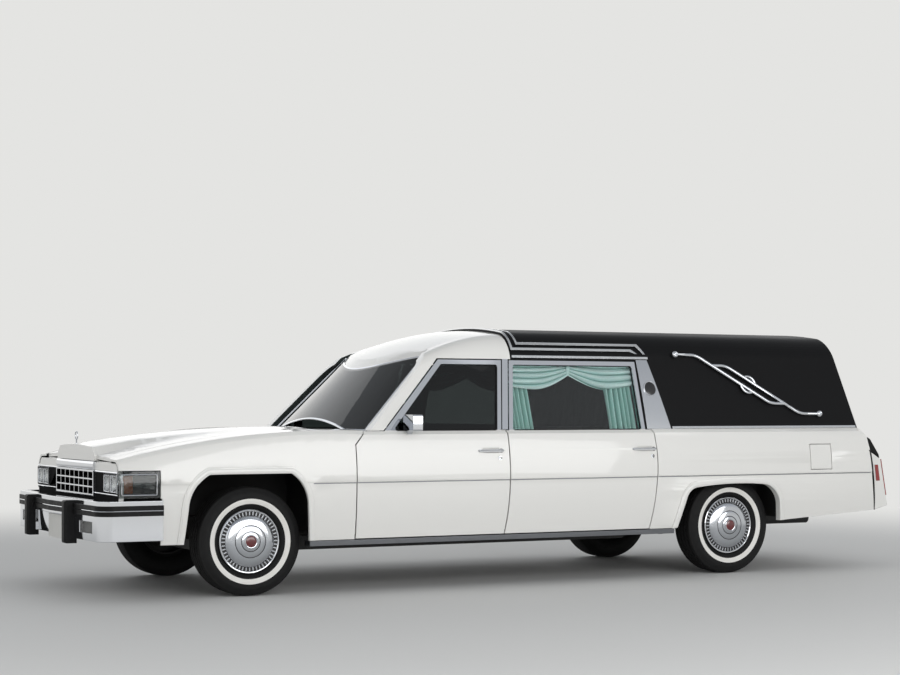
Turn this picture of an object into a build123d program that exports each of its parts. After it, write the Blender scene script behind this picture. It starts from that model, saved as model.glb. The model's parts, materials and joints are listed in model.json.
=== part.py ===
"""Landau hearse on a long commercial chassis, built as separate panels, glass, running gear and doors.

Millimetres. +X points forward, +Y to the left side, +Z up.
The origin is on the ground, under the middle of the overall length.
"""

import os
from math import hypot

from build123d import *

os.makedirs("parts", exist_ok=True)

# Overall layout
wheelbase = 3670
front_overhang = 1080
rear_overhang = 1450
front_axle_x = (front_overhang + wheelbase + rear_overhang) / 2 - front_overhang
rear_axle_x = front_axle_x - wheelbase
reach = 3000  # longer than any half of the body, for cutting prisms

# Heights of the body's main lines
sill_bottom_z = 306
sill_top_z = 343
crease_z = 714
belt_z = 1015
glass_base_z = 1040
rail_z = 1530
roof_edge_z = 1708
roof_z = 1752

# Half widths of the body's main lines
door_bottom_y = 966
crease_y = 1003
crease_step = 4
belt_y = 963
glass_base_y = 926
rail_y = 778
roof_edge_y = 610

# Stations along the body, from the axle that they belong to
nose_ahead = 876
front_gap_behind = 690
front_door_length = 1126
rear_gap_ahead = 680
b_post_lean = 76
screen_base_behind = 858
screen_top_behind = 1509
tail_top_behind = 1000
tail_belt_behind = 1138
tail_mid_behind = 1202
tail_end_behind = 1250
b_gap_x = front_axle_x - front_gap_behind - front_door_length
rear_gap_x = rear_axle_x + rear_gap_ahead
front_gap_x = front_axle_x - front_gap_behind
nose_x = front_axle_x + nose_ahead

# Sheet and wall sizes
gap = 8
skin = 10
door_depth = 80
box_inset = 26
frame_depth = 46
fender_wall = 14
quarter_wall = 40
roof_wall = 42
glass = 6
glass_set = 18

# Wheels
tyre_radius = 345
tyre_width = 212
track = 1590
rim_radius = 193
cover_radius = 204
cover_depth = 15
spindle_radius = 20
running_clearance = 0.05
axle_z = tyre_radius
wheel_y = track / 2

# Every finished piece, by node name
pieces = {}


def keep(name, part):
    """Labels a finished piece and puts it on the list that is written at the end."""
    part.label = name
    pieces[name] = part
    return part


def keep_pair(name, part):
    """Keeps a left-hand piece and its mirrored right-hand twin as two nodes."""
    keep(f"{name}_left", part)
    keep(f"{name}_right", mirror(part, about=Plane.XZ))


def both_sides(part):
    """One node of two solids: a left-hand piece and its mirrored twin."""
    return Part() + [part, mirror(part, about=Plane.XZ)]


def side_band(near, far):
    """Closed section of the lower body side, between two depths under its outer face, on a YZ plane."""
    for depth in (near, far):
        TangentArc((crease_y - crease_step - depth, crease_z), (door_bottom_y - depth, sill_bottom_z),
                   tangent=(0, -1))
        Line((crease_y - crease_step - depth, crease_z), (crease_y - depth, crease_z))
        TangentArc((crease_y - depth, crease_z), (belt_y - depth, belt_z), tangent=(0, 1))
        Line((belt_y - depth, belt_z), (glass_base_y - depth, glass_base_z))
    Line((door_bottom_y - near, sill_bottom_z), (door_bottom_y - far, sill_bottom_z))
    Line((glass_base_y - near, glass_base_z), (glass_base_y - far, glass_base_z))


def window_band(near, far, z_low=glass_base_z):
    """Closed section of the leaning window side, between two depths under its outer face, on a YZ plane."""
    slope = (glass_base_y - rail_y) / (rail_z - glass_base_z)
    y_low = glass_base_y + (glass_base_z - z_low) * slope
    Polyline((y_low - near, z_low), (rail_y - near, rail_z), (rail_y - far, rail_z), (y_low - far, z_low),
             close=True)


def side_slab(x_rear, x_front, near, far, upper=False):
    """Straight length of body side between two stations, with the window side above it where asked."""
    with BuildPart() as slab:
        with BuildSketch(Plane.YZ.offset(x_rear)):
            with BuildLine():
                side_band(near, far)
            make_face()
            if upper:
                with BuildLine():
                    window_band(near, min(far, frame_depth))
                make_face()
        extrude(amount=x_front - x_rear)
    return slab.part


def side_prism(outline, margin):
    """Solid through the left half of the car with a side-view outline, grown by a margin (shrunk below zero)."""
    with BuildPart() as prism:
        with BuildSketch(Plane.XZ):
            with BuildLine():
                outline()
            make_face()
            if margin:
                offset(amount=margin, kind=Kind.INTERSECTION, mode=Mode.REPLACE)
        extrude(amount=-reach)
    return prism.part


def corner_prism(points, radius):
    """Solid through the left half of the car from a side-view polygon with rounded corners."""
    with BuildPart() as prism:
        with BuildSketch(Plane.XZ) as face:
            with BuildLine():
                Polyline(*points, close=True)
            make_face()
            fillet(face.vertices(), radius)
        extrude(amount=-reach)
    return prism.part


# Shut lines of the doors, in side view
door_base_x = front_axle_x - 1782
rear_door_base_x = rear_gap_x + 54
a_post_foot_lag = 58
a_post_head_lead = 131
a_post_foot_x = front_axle_x - screen_base_behind - a_post_foot_lag
a_post_head_x = front_axle_x - screen_top_behind + a_post_head_lead
frame_top_z = rail_z - 14
post_half = 26
frame_rear_x = b_gap_x + post_half
rear_frame_front_x = b_gap_x - post_half
rear_frame_end_x = rear_gap_x + 52


def b_shut_line():
    """Shut line between the doors below the belt, from the belt down."""
    Line((b_gap_x, glass_base_z), (b_gap_x, crease_z))
    ThreePointArc((b_gap_x, crease_z), ((b_gap_x * 3 + door_base_x) / 4, (crease_z + sill_top_z) / 2),
                  (door_base_x, sill_top_z))


def front_door_outline():
    """Front door: straight front edge, leaning pillar side, stepped and curved rear edge."""
    b_shut_line()
    Polyline((b_gap_x, glass_base_z), (frame_rear_x, glass_base_z), (frame_rear_x - b_post_lean, frame_top_z),
             (a_post_head_x, frame_top_z), (a_post_foot_x, glass_base_z), (front_gap_x - 80, glass_base_z),
             (front_gap_x, glass_base_z - 90), (front_gap_x, sill_top_z), (door_base_x, sill_top_z))


def rear_door_outline():
    """Rear side door: shares the middle shut line, with a bowed rear edge."""
    b_shut_line()
    Polyline((b_gap_x, glass_base_z), (rear_frame_front_x, glass_base_z),
             (rear_frame_front_x - b_post_lean, frame_top_z), (rear_frame_end_x, frame_top_z),
             (rear_frame_end_x, glass_base_z), (rear_gap_x + 10, glass_base_z))
    ThreePointArc((rear_gap_x + 10, glass_base_z), (rear_gap_x, crease_z), (rear_door_base_x, sill_top_z))
    Line((rear_door_base_x, sill_top_z), (door_base_x, sill_top_z))


# Doors: outer skin, stepped-in inner box, window opening, handle and glass
window_border = 34
window_sill_z = glass_base_z - 4
handle_z = 902
handle_length = 180
front_window = [
    (a_post_foot_x - 62, window_sill_z), (a_post_head_x - 20, frame_top_z - window_border),
    (frame_rear_x - b_post_lean + window_border + 4, frame_top_z - window_border),
    (frame_rear_x + window_border, window_sill_z),
]
rear_window = [
    (rear_frame_front_x - window_border, window_sill_z),
    (rear_frame_front_x - b_post_lean - window_border + 4, frame_top_z - window_border),
    (rear_frame_end_x + window_border, frame_top_z - window_border),
    (rear_frame_end_x + window_border, window_sill_z),
]


def door_shell(outline, window, x_rear, x_front, handle_end_x):
    """A side door: skin over a stepped-in box, window cut through, pull handle on its rear end."""
    opening = corner_prism(window, 16)
    with BuildPart() as door:
        add(side_slab(x_rear, x_front, 0, skin, upper=True) & side_prism(outline, -gap / 2))
        add(side_slab(x_rear, x_front, skin, door_depth, upper=True) & side_prism(outline, -gap / 2 - box_inset))
        add(opening, mode=Mode.SUBTRACT)
        with Locations((handle_end_x + handle_length / 2, crease_y - 16, handle_z)):
            Box(handle_length, 22, 18)
        with Locations((handle_end_x + handle_length / 2, crease_y - 18, handle_z)):
            Box(handle_length - 60, 10, 40, mode=Mode.SUBTRACT)
    return door.part


def door_glass(window, x_rear, x_front):
    """Drop glass that fills a window opening, set in from the frame's outer face."""
    with BuildPart() as pane:
        with BuildSketch(Plane.YZ.offset(x_rear)):
            with BuildLine():
                window_band(glass_set, glass_set + glass, z_low=window_sill_z)
            make_face()
        extrude(amount=x_front - x_rear)
        add(corner_prism(window, 16), mode=Mode.INTERSECT)
    return pane.part


front_door = door_shell(front_door_outline, front_window, b_gap_x - 100, front_gap_x, b_gap_x + 52)
keep_pair("door_front", front_door)
keep_pair("glass_front", door_glass(front_window, b_gap_x - 100, front_gap_x))
rear_door = door_shell(rear_door_outline, rear_window, rear_gap_x - 10, b_gap_x + 60, rear_gap_x + 14)
keep_pair("door_rear", rear_door)
keep_pair("glass_rear", door_glass(rear_window, rear_gap_x - 10, b_gap_x + 60))

# Door mirrors: box head on a short foot that stands on the belt of each front door
mirror_x = front_axle_x - 1085
mirror_y = 1010
mirror_z = 1090
mirror_size = (70, 150, 108)
with BuildPart() as door_mirror:
    with Locations((mirror_x, mirror_y, mirror_z)):
        Box(*mirror_size)
    fillet(door_mirror.edges().filter_by(Axis.X), 14)
    with BuildSketch(Plane.YZ.offset(mirror_x - 18)):
        with BuildLine():
            Polyline((belt_y, belt_z), (belt_y + 12, mirror_z - 40), (belt_y - 16, mirror_z - 40),
                     (glass_base_y, glass_base_z), close=True)
        make_face()
    extrude(amount=36)
keep_pair("door_mirror", door_mirror.part)

# Front fenders: lofted shell from the nose to the door, with wheel arch and lamp notch
# Columns: distance ahead of the front axle, inset of the side, drop of the shoulder
fender_stations = [(-front_gap_behind - 84, 0, 0), (120, 7, 34), (nose_ahead - 12, 56, 172)]
fender_inner_y = 724
fender_rise = 6
lamp_wrap = 266
lamp_rear_ahead = nose_ahead - lamp_wrap
lamp_bottom_z = 636
lamp_top_z = 800
lamp_notch = 130
corner_lens = 18
bumper_wrap = 276
bumper_end_ahead = nose_ahead - bumper_wrap
arch_lip_z = 775
flare_proud = 9
flare_width = 42


def fender_section(inset, drop, depth):
    """Half profile of a front fender under its outer face: side, crease, shoulder and top."""
    crease = crease_z - depth / 4
    TangentArc((crease_y - crease_step - inset - depth, crease), (door_bottom_y - inset - depth, sill_top_z),
               tangent=(0, -1))
    Line((crease_y - crease_step - inset - depth, crease), (crease_y - inset - depth, crease))
    shoulder = (belt_y - inset - depth, belt_z - drop - depth)
    TangentArc((crease_y - inset - depth, crease), shoulder, tangent=(0, 1))
    crown = (glass_base_y - inset - depth, glass_base_z - drop - depth)
    Polyline(shoulder, crown, (fender_inner_y, glass_base_z + fender_rise - drop - depth))


def fender_shell(near, far):
    """The whole fender loft between two depths under its outer face, before any opening is cut."""
    with BuildPart() as shell:
        for ahead, inset, drop in fender_stations:
            with BuildSketch(Plane.YZ.offset(front_axle_x + ahead)):
                with BuildLine():
                    fender_section(inset, drop, near)
                    fender_section(inset, drop, far)
                    foot_y = door_bottom_y - inset
                    Line((foot_y - near, sill_top_z), (foot_y - far, sill_top_z))
                    top = glass_base_z + fender_rise - drop
                    Line((fender_inner_y, top - near), (fender_inner_y, top - far))
                make_face()
        loft()
    return shell.part


def front_arch():
    """Front wheel opening: flat top with large round shoulders, longer in front than behind."""
    x = front_axle_x
    Polyline((x + 436, 560), (x + 458, sill_top_z), (x + 458, 0), (x - 370, 0), (x - 370, sill_top_z),
             (x - 354, 560))
    ThreePointArc((x - 354, 560), (x - 318, 692), (x - 235, arch_lip_z))
    Line((x - 235, arch_lip_z), (x + 300, arch_lip_z))
    ThreePointArc((x + 300, arch_lip_z), (x + 394, 692), (x + 436, 560))


def below_lamp():
    """Front lower corner of a fender, open behind the bumper's end."""
    Polyline((front_axle_x + bumper_end_ahead, 0), (nose_x + reach, 0), (nose_x + reach, lamp_bottom_z - 4),
             (front_axle_x + bumper_end_ahead, lamp_bottom_z - 4), close=True)


with BuildPart() as fender:
    add(fender_shell(0, fender_wall))
    add(fender_shell(-flare_proud, fender_wall / 2) & side_prism(front_arch, flare_width))
    add(side_prism(front_arch, 0), mode=Mode.SUBTRACT)
    add(side_prism(front_door_outline, gap / 2), mode=Mode.SUBTRACT)
    add(side_prism(below_lamp, 0), mode=Mode.SUBTRACT)
    with Locations((front_axle_x + lamp_rear_ahead, crease_y, (lamp_bottom_z + lamp_top_z) / 2)):
        Box(reach, 2 * lamp_notch, lamp_top_z - lamp_bottom_z + gap, align=(Align.MIN, Align.CENTER, Align.CENTER),
            mode=Mode.SUBTRACT)
keep("front_fenders", both_sides(fender.part))

# Hood: lofted panel with a raised middle, and a lip that drops to the grille header
# Columns: distance ahead of the front axle, height at the edge, foot and shoulder of the raised middle, crown
hood_rear_behind = 600
hood_stations = [
    (-hood_rear_behind, 1043, 1047, 1051, 1062),
    (120, 1012, 1018, 1029, 1038),
    (nose_ahead - 26, 877, 887, 940, 953),
]
hood_half_width = fender_inner_y - gap
hood_foot_y = 430
hood_ridge_y = 366
hood_wall = 24
lip_half_width = 424
lip_bottom_z = 852
with BuildPart() as hood:
    for ahead, edge_z, foot_z, ridge_z, crown_z in hood_stations:
        with BuildSketch(Plane.YZ.offset(front_axle_x + ahead)):
            with BuildLine():
                for drop in (0, hood_wall):
                    for side in (-1, 1):
                        Polyline((side * hood_half_width, edge_z - drop), (side * hood_foot_y, foot_z - drop),
                                 (side * hood_ridge_y, ridge_z - drop))
                    ThreePointArc((-hood_ridge_y, ridge_z - drop), (0, crown_z - drop),
                                  (hood_ridge_y, ridge_z - drop))
                for side in (-1, 1):
                    Line((side * hood_half_width, edge_z), (side * hood_half_width, edge_z - hood_wall))
            make_face()
    loft()
    ahead, edge_z, foot_z, ridge_z, crown_z = hood_stations[-1]
    with BuildSketch(Plane.YZ.offset(front_axle_x + ahead - 20)):
        with BuildLine():
            Polyline((-hood_ridge_y, ridge_z), (-lip_half_width, foot_z), (-lip_half_width, lip_bottom_z),
                     (lip_half_width, lip_bottom_z), (lip_half_width, foot_z), (hood_ridge_y, ridge_z))
            ThreePointArc((-hood_ridge_y, ridge_z), (0, crown_z), (hood_ridge_y, ridge_z))
        make_face()
    extrude(amount=40)
keep("hood", hood.part)

# Hood ornament: an upright ring on a short stem
ornament_behind_nose = 14
ornament_z = 1008
ornament_radius = 26
ornament_wire = 4
with BuildPart() as ornament:
    with Locations((nose_x - ornament_behind_nose, 0, crown_z)):
        Cylinder(5, ornament_z - ornament_radius - crown_z + 2, align=(Align.CENTER, Align.CENTER, Align.MIN))
    with Locations(Location((nose_x - ornament_behind_nose, 0, ornament_z), (0, 90, 0))):
        Torus(ornament_radius, ornament_wire)
keep("hood_ornament", ornament.part)

# Nose panel, grille and lamps
nose_wall = 32
nose_face_x = nose_x - 12
grille_half = 428
grille_bottom_z = 630
grille_top_z = 795
grille_border = 13
grille_bar = 9
grille_columns = 8
grille_rows = 3
lamp_inner_y = 638
lamp_outer_y = 912
lamp_pair_bottom_z = 662
lamp_pair_top_z = 782
lamp_border = 9
nose_outline = [(900, 566), (922, 632), (924, 712), (884, 826), (850, 846), (-850, 846), (-884, 826), (-924, 712),
                (-922, 632), (-900, 566)]
with BuildPart() as nose:
    with BuildSketch(Plane.YZ.offset(nose_face_x - nose_wall)):
        with BuildLine():
            Polyline(*nose_outline, close=True)
        make_face()
        with Locations((0, (grille_bottom_z + grille_top_z) / 2)):
            Rectangle(2 * grille_half, grille_top_z - grille_bottom_z, mode=Mode.SUBTRACT)
        for side in (-1, 1):
            with Locations((side * (lamp_inner_y + lamp_outer_y) / 2, (lamp_pair_bottom_z + lamp_pair_top_z) / 2)):
                Rectangle(lamp_outer_y - lamp_inner_y, lamp_pair_top_z - lamp_pair_bottom_z, mode=Mode.SUBTRACT)
    extrude(amount=nose_wall)
keep("nose_panel", nose.part)

cell_width = (2 * grille_half - 2 * grille_border - (grille_columns - 1) * grille_bar) / grille_columns
cell_height = (grille_top_z - grille_bottom_z - 2 * grille_border - (grille_rows - 1) * grille_bar) / grille_rows
with BuildPart() as grille:
    with BuildSketch(Plane.YZ.offset(nose_face_x - nose_wall)):
        with Locations((0, (grille_bottom_z + grille_top_z) / 2)):
            Rectangle(2 * grille_half, grille_top_z - grille_bottom_z)
            with GridLocations(cell_width + grille_bar, cell_height + grille_bar, grille_columns, grille_rows):
                Rectangle(cell_width, cell_height, mode=Mode.SUBTRACT)
    extrude(amount=nose_wall + 14)
keep("grille", grille.part)

lens_width = (lamp_outer_y - lamp_inner_y - 3 * lamp_border) / 2
lens_height = lamp_pair_top_z - lamp_pair_bottom_z - 2 * lamp_border
lamp_centre_y = (lamp_inner_y + lamp_outer_y) / 2
lamp_centre_z = (lamp_pair_bottom_z + lamp_pair_top_z) / 2
with BuildPart() as bezel:
    with BuildSketch(Plane.YZ.offset(nose_face_x - nose_wall)):
        with Locations((lamp_centre_y, lamp_centre_z)):
            Rectangle(lamp_outer_y - lamp_inner_y, lamp_pair_top_z - lamp_pair_bottom_z)
            with GridLocations(lens_width + lamp_border, 1, 2, 1):
                Rectangle(lens_width, lens_height, mode=Mode.SUBTRACT)
    extrude(amount=nose_wall + 12)
keep("lamp_bezels", both_sides(bezel.part))

turn_inner_y = 594
turn_outer_y = 828
turn_bottom_z = 420
turn_top_z = 490
bumper_proud = 164
bumper_corner_proud = 114
bumper_front_ahead = nose_ahead + bumper_proud
bumper_corner_ahead = nose_ahead + bumper_corner_proud
bumper_corner_y = 950
bumper_side_y = 984
bumper_wall = 60
bumper_bottom_z = 374
bumper_top_z = 620


def front_bumper_plan(grow):
    """Left half of the front bumper's outer outline, in plan, closed along the middle."""
    x = front_axle_x
    Polyline((x + bumper_end_ahead, 0), (x + bumper_end_ahead, bumper_side_y + grow),
             (x + bumper_corner_ahead - 70, bumper_side_y - 6 + grow))
    ThreePointArc((x + bumper_corner_ahead - 70, bumper_side_y - 6 + grow),
                  (x + bumper_corner_ahead - 14 + grow / 2, bumper_corner_y - 2 + grow / 2),
                  (x + bumper_corner_ahead + 10 + grow, bumper_corner_y - 70))
    Polyline((x + bumper_corner_ahead + 10 + grow, bumper_corner_y - 70), (x + bumper_front_ahead + grow, 0),
             (x + bumper_end_ahead, 0))


def bumper_solid(grow, z_low, z_high):
    """Left half of the front bumper as a full block between two heights."""
    with BuildPart() as block:
        with BuildSketch(Plane.XY.offset(z_low)):
            with BuildLine():
                front_bumper_plan(grow)
            make_face()
        extrude(amount=z_high - z_low)
    return block.part


with BuildPart() as corner_lamp:
    add(fender_shell(0, corner_lens))
    with Locations((front_axle_x + lamp_rear_ahead + gap / 2, crease_y, (lamp_bottom_z + lamp_top_z) / 2)):
        Box(reach, 2 * lamp_notch, lamp_top_z - lamp_bottom_z, align=(Align.MIN, Align.CENTER, Align.CENTER),
            mode=Mode.INTERSECT)
with BuildPart() as lenses:
    with BuildSketch(Plane.YZ.offset(nose_face_x - nose_wall)):
        with Locations((lamp_centre_y, lamp_centre_z)):
            with GridLocations(lens_width + lamp_border, 1, 2, 1):
                Rectangle(lens_width, lens_height)
    extrude(amount=nose_wall + 4)
with BuildPart() as turn_lamp:
    add(bumper_solid(-4, turn_bottom_z, turn_top_z))
    add(bumper_solid(-22, turn_bottom_z, turn_top_z), mode=Mode.SUBTRACT)
    with Locations((nose_x, (turn_inner_y + turn_outer_y) / 2, (turn_bottom_z + turn_top_z) / 2)):
        Box(reach, turn_outer_y - turn_inner_y, reach, mode=Mode.INTERSECT)
    with Locations((nose_x, 0, 0)):
        Box(reach, reach, reach, align=(Align.MIN, Align.CENTER, Align.CENTER), mode=Mode.INTERSECT)
left_lamps = [corner_lamp.part, lenses.part, turn_lamp.part]
keep("front_lamps", Part() + left_lamps + [mirror(lamp, about=Plane.XZ) for lamp in left_lamps])

# Front bumper: deep channel with turned-back ends, lamp pockets and a middle recess
recess_half = 420
recess_top_z = 512
recess_depth = 42
with BuildPart() as bumper_half:
    add(bumper_solid(0, bumper_bottom_z, bumper_top_z))
    add(bumper_solid(-bumper_wall, bumper_bottom_z, bumper_top_z), mode=Mode.SUBTRACT)
    with Locations((nose_x - nose_wall, 0, 0)):
        Box(reach, 2 * recess_half, 2 * recess_top_z, align=(Align.MIN, Align.CENTER, Align.CENTER),
            mode=Mode.SUBTRACT)
    with Locations((nose_x, (turn_inner_y + turn_outer_y) / 2, (turn_bottom_z + turn_top_z) / 2)):
        Box(reach, turn_outer_y - turn_inner_y, turn_top_z - turn_bottom_z,
            align=(Align.MIN, Align.CENTER, Align.CENTER), mode=Mode.SUBTRACT)
back_x = front_axle_x + bumper_front_ahead - bumper_wall
with BuildPart() as front_bumper:
    add(bumper_half.part)
    mirror(about=Plane.XZ)
    with Locations((back_x, 0, (bumper_bottom_z + recess_top_z) / 2)):
        Box(bumper_wall - recess_depth, 2 * recess_half + 2, recess_top_z - bumper_bottom_z,
            align=(Align.MIN, Align.CENTER, Align.CENTER))
keep("front_bumper", front_bumper.part)

# Tail line: side-view profile of the rear end, from the roof down to the bumper
tail_profile = [
    (rear_axle_x - tail_top_behind, roof_z + 40), (rear_axle_x - tail_belt_behind, glass_base_z),
    (rear_axle_x - tail_mid_behind, 860), (rear_axle_x - tail_end_behind, 430),
]
tail_wall = 60
rear_door_half = 700
rear_door_top_half = 556
rear_door_bottom_z = 608
rear_door_top_z = 1652
rear_door_radius = 60


def tail_slab(thickness):
    """Rear wall of the body across its whole width, behind the tail profile."""
    with BuildPart() as slab:
        with BuildSketch(Plane.XZ):
            with BuildLine():
                Polyline(*tail_profile, *[(x + thickness, z) for x, z in reversed(tail_profile)], close=True)
            make_face()
        extrude(amount=reach, both=True)
    return slab.part


def rear_door_prism(margin):
    """Outline of the rear door seen from behind, as a solid along the car, grown by a margin."""
    with BuildPart() as prism:
        with BuildSketch(Plane.YZ.offset(rear_axle_x - reach)) as face:
            with BuildLine():
                Polyline((-rear_door_half, rear_door_bottom_z), (-rear_door_half, glass_base_z),
                         (-rear_door_top_half, rear_door_top_z), (rear_door_top_half, rear_door_top_z),
                         (rear_door_half, glass_base_z), (rear_door_half, rear_door_bottom_z), close=True)
            make_face()
            fillet(face.vertices(), rear_door_radius)
            offset(amount=margin, mode=Mode.REPLACE)
        extrude(amount=reach)
    return prism.part


def ahead_of_tail():
    """Everything in side view that lies ahead of the tail profile."""
    Polyline((rear_axle_x + reach, tail_profile[0][1]), *tail_profile, (rear_axle_x - tail_end_behind, 0),
             (rear_axle_x + reach, 0), close=True)


# Roof: one section for the long rear roof, and three for the front dome that runs down to the screen
rail_bow = 34
white_step = 14
dome_overrun = 119
dome_end_behind = front_gap_behind + front_door_length + dome_overrun
dome_lead = 68
dome_middle_lead = 33.5
dome_head_lead = 9
# Columns: distance behind the front axle, rail half width and height, edge half width and height, crown height
dome_stations = [
    (screen_base_behind - dome_lead, 905, 1110, 760, 1142, 1172),
    ((screen_base_behind + screen_top_behind) / 2 - dome_middle_lead, 812, 1417, 662, 1456, 1490),
    (screen_top_behind - dome_head_lead, 782, 1518, 624, 1622, 1662),
    (dome_end_behind, rail_y, rail_z, roof_edge_y, roof_edge_z - white_step, roof_z - white_step),
]


def roof_half(rail, edge, base_depth, depth, side):
    """One half of a roof profile: leaning window side, bowed corner and crowned top."""
    rail_point = (rail[0] - depth, rail[1] - depth / 3)
    edge_point = (edge[0] - depth * 0.6, edge[1] - depth * 0.9)
    run = (edge_point[0] - rail_point[0], edge_point[1] - rail_point[1])
    length = hypot(*run)
    middle = ((rail_point[0] + edge_point[0]) / 2 + run[1] / length * rail_bow,
              (rail_point[1] + edge_point[1]) / 2 - run[0] / length * rail_bow)
    Line((side * (glass_base_y - base_depth), glass_base_z), (side * rail_point[0], rail_point[1]))
    ThreePointArc((side * rail_point[0], rail_point[1]), (side * middle[0], middle[1]),
                  (side * edge_point[0], edge_point[1]))


def roof_profile(rail, edge, crown, base_depth, depth):
    """Whole roof profile at one station, closed along the belt."""
    edge_point = (edge[0] - depth * 0.6, edge[1] - depth * 0.9)
    roof_half(rail, edge, base_depth, depth, 1)
    roof_half(rail, edge, base_depth, depth, -1)
    ThreePointArc((-edge_point[0], edge_point[1]), (0, crown - depth), (edge_point[0], edge_point[1]))
    Line((glass_base_y - base_depth, glass_base_z), (base_depth - glass_base_y, glass_base_z))


def dome_solid(base_depth, depth):
    """Front roof dome as a full block, set in by a depth."""
    with BuildPart() as dome:
        for behind, rail_half, rail_height, edge_half, edge_height, crown in dome_stations:
            with BuildSketch(Plane.YZ.offset(front_axle_x - behind)):
                with BuildLine():
                    roof_profile((rail_half, rail_height), (edge_half, edge_height), crown, base_depth, depth)
                make_face()
        loft()
    return dome.part


def roof_block(depth, x_rear, x_front):
    """Straight rear roof as a full block between two stations, set in by a depth."""
    with BuildPart() as block:
        with BuildSketch(Plane.YZ.offset(x_rear)):
            with BuildLine():
                roof_profile((rail_y, rail_z), (roof_edge_y, roof_edge_z), roof_z, depth, depth)
            make_face()
        extrude(amount=x_front - x_rear)
    return block.part


# Screen: plan arcs at its base and head
screen_base_z = 1036
screen_top_z = 1700
screen_base_half = 786
screen_top_half = 629
screen_bow = 130
pillar_base_lead = 46
pillar_top_lead = 51
pillar_base_behind = screen_base_behind - pillar_base_lead
pillar_top_behind = screen_top_behind - pillar_top_lead
screen_glass = 8
header_depth = 22
# Columns: height, distance of the screen's corner and of the pillar's front behind the front axle, half width
screen_levels = [
    (screen_base_z, screen_base_behind, pillar_base_behind, screen_base_half),
    (screen_top_z, screen_top_behind, pillar_top_behind, screen_top_half),
]
with BuildPart() as screen_front:
    for level_z, corner_behind, pillar_behind, half in screen_levels:
        with BuildSketch(Plane.XY.offset(level_z)):
            corner_x = front_axle_x - corner_behind
            pillar_x = front_axle_x - pillar_behind
            with BuildLine():
                ThreePointArc((corner_x, -half), (corner_x + screen_bow, 0), (corner_x, half))
                Polyline((corner_x, half), (pillar_x, half + 6), (pillar_x, reach), (reach, reach), (reach, -reach),
                         (pillar_x, -reach), (pillar_x, -half - 6), (corner_x, -half))
            make_face()
    loft(ruled=True)
with BuildPart() as windscreen:
    for level_z, corner_behind, pillar_behind, half in screen_levels:
        with BuildSketch(Plane.XY.offset(level_z)):
            outer_x = front_axle_x - corner_behind + screen_glass + 6
            inner_x = outer_x - screen_glass
            span = half - 8
            with BuildLine():
                ThreePointArc((outer_x, -span), (outer_x + screen_bow, 0), (outer_x, span))
                ThreePointArc((inner_x, -span), (inner_x + screen_bow, 0), (inner_x, span))
                Line((outer_x, -span), (inner_x, -span))
                Line((outer_x, span), (inner_x, span))
            make_face()
    loft(ruled=True)
    add(dome_solid(header_depth, header_depth), mode=Mode.INTERSECT)
keep("windscreen", windscreen.part)


def front_openings():
    """Side-view opening of both door frames below the rail, from the screen pillar back."""
    Polyline((a_post_foot_x + gap / 2, 0), (a_post_foot_x + gap / 2, glass_base_z),
             (a_post_head_x + gap / 2, frame_top_z + gap / 2), (-reach, frame_top_z + gap / 2), (-reach, 0), close=True)


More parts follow.
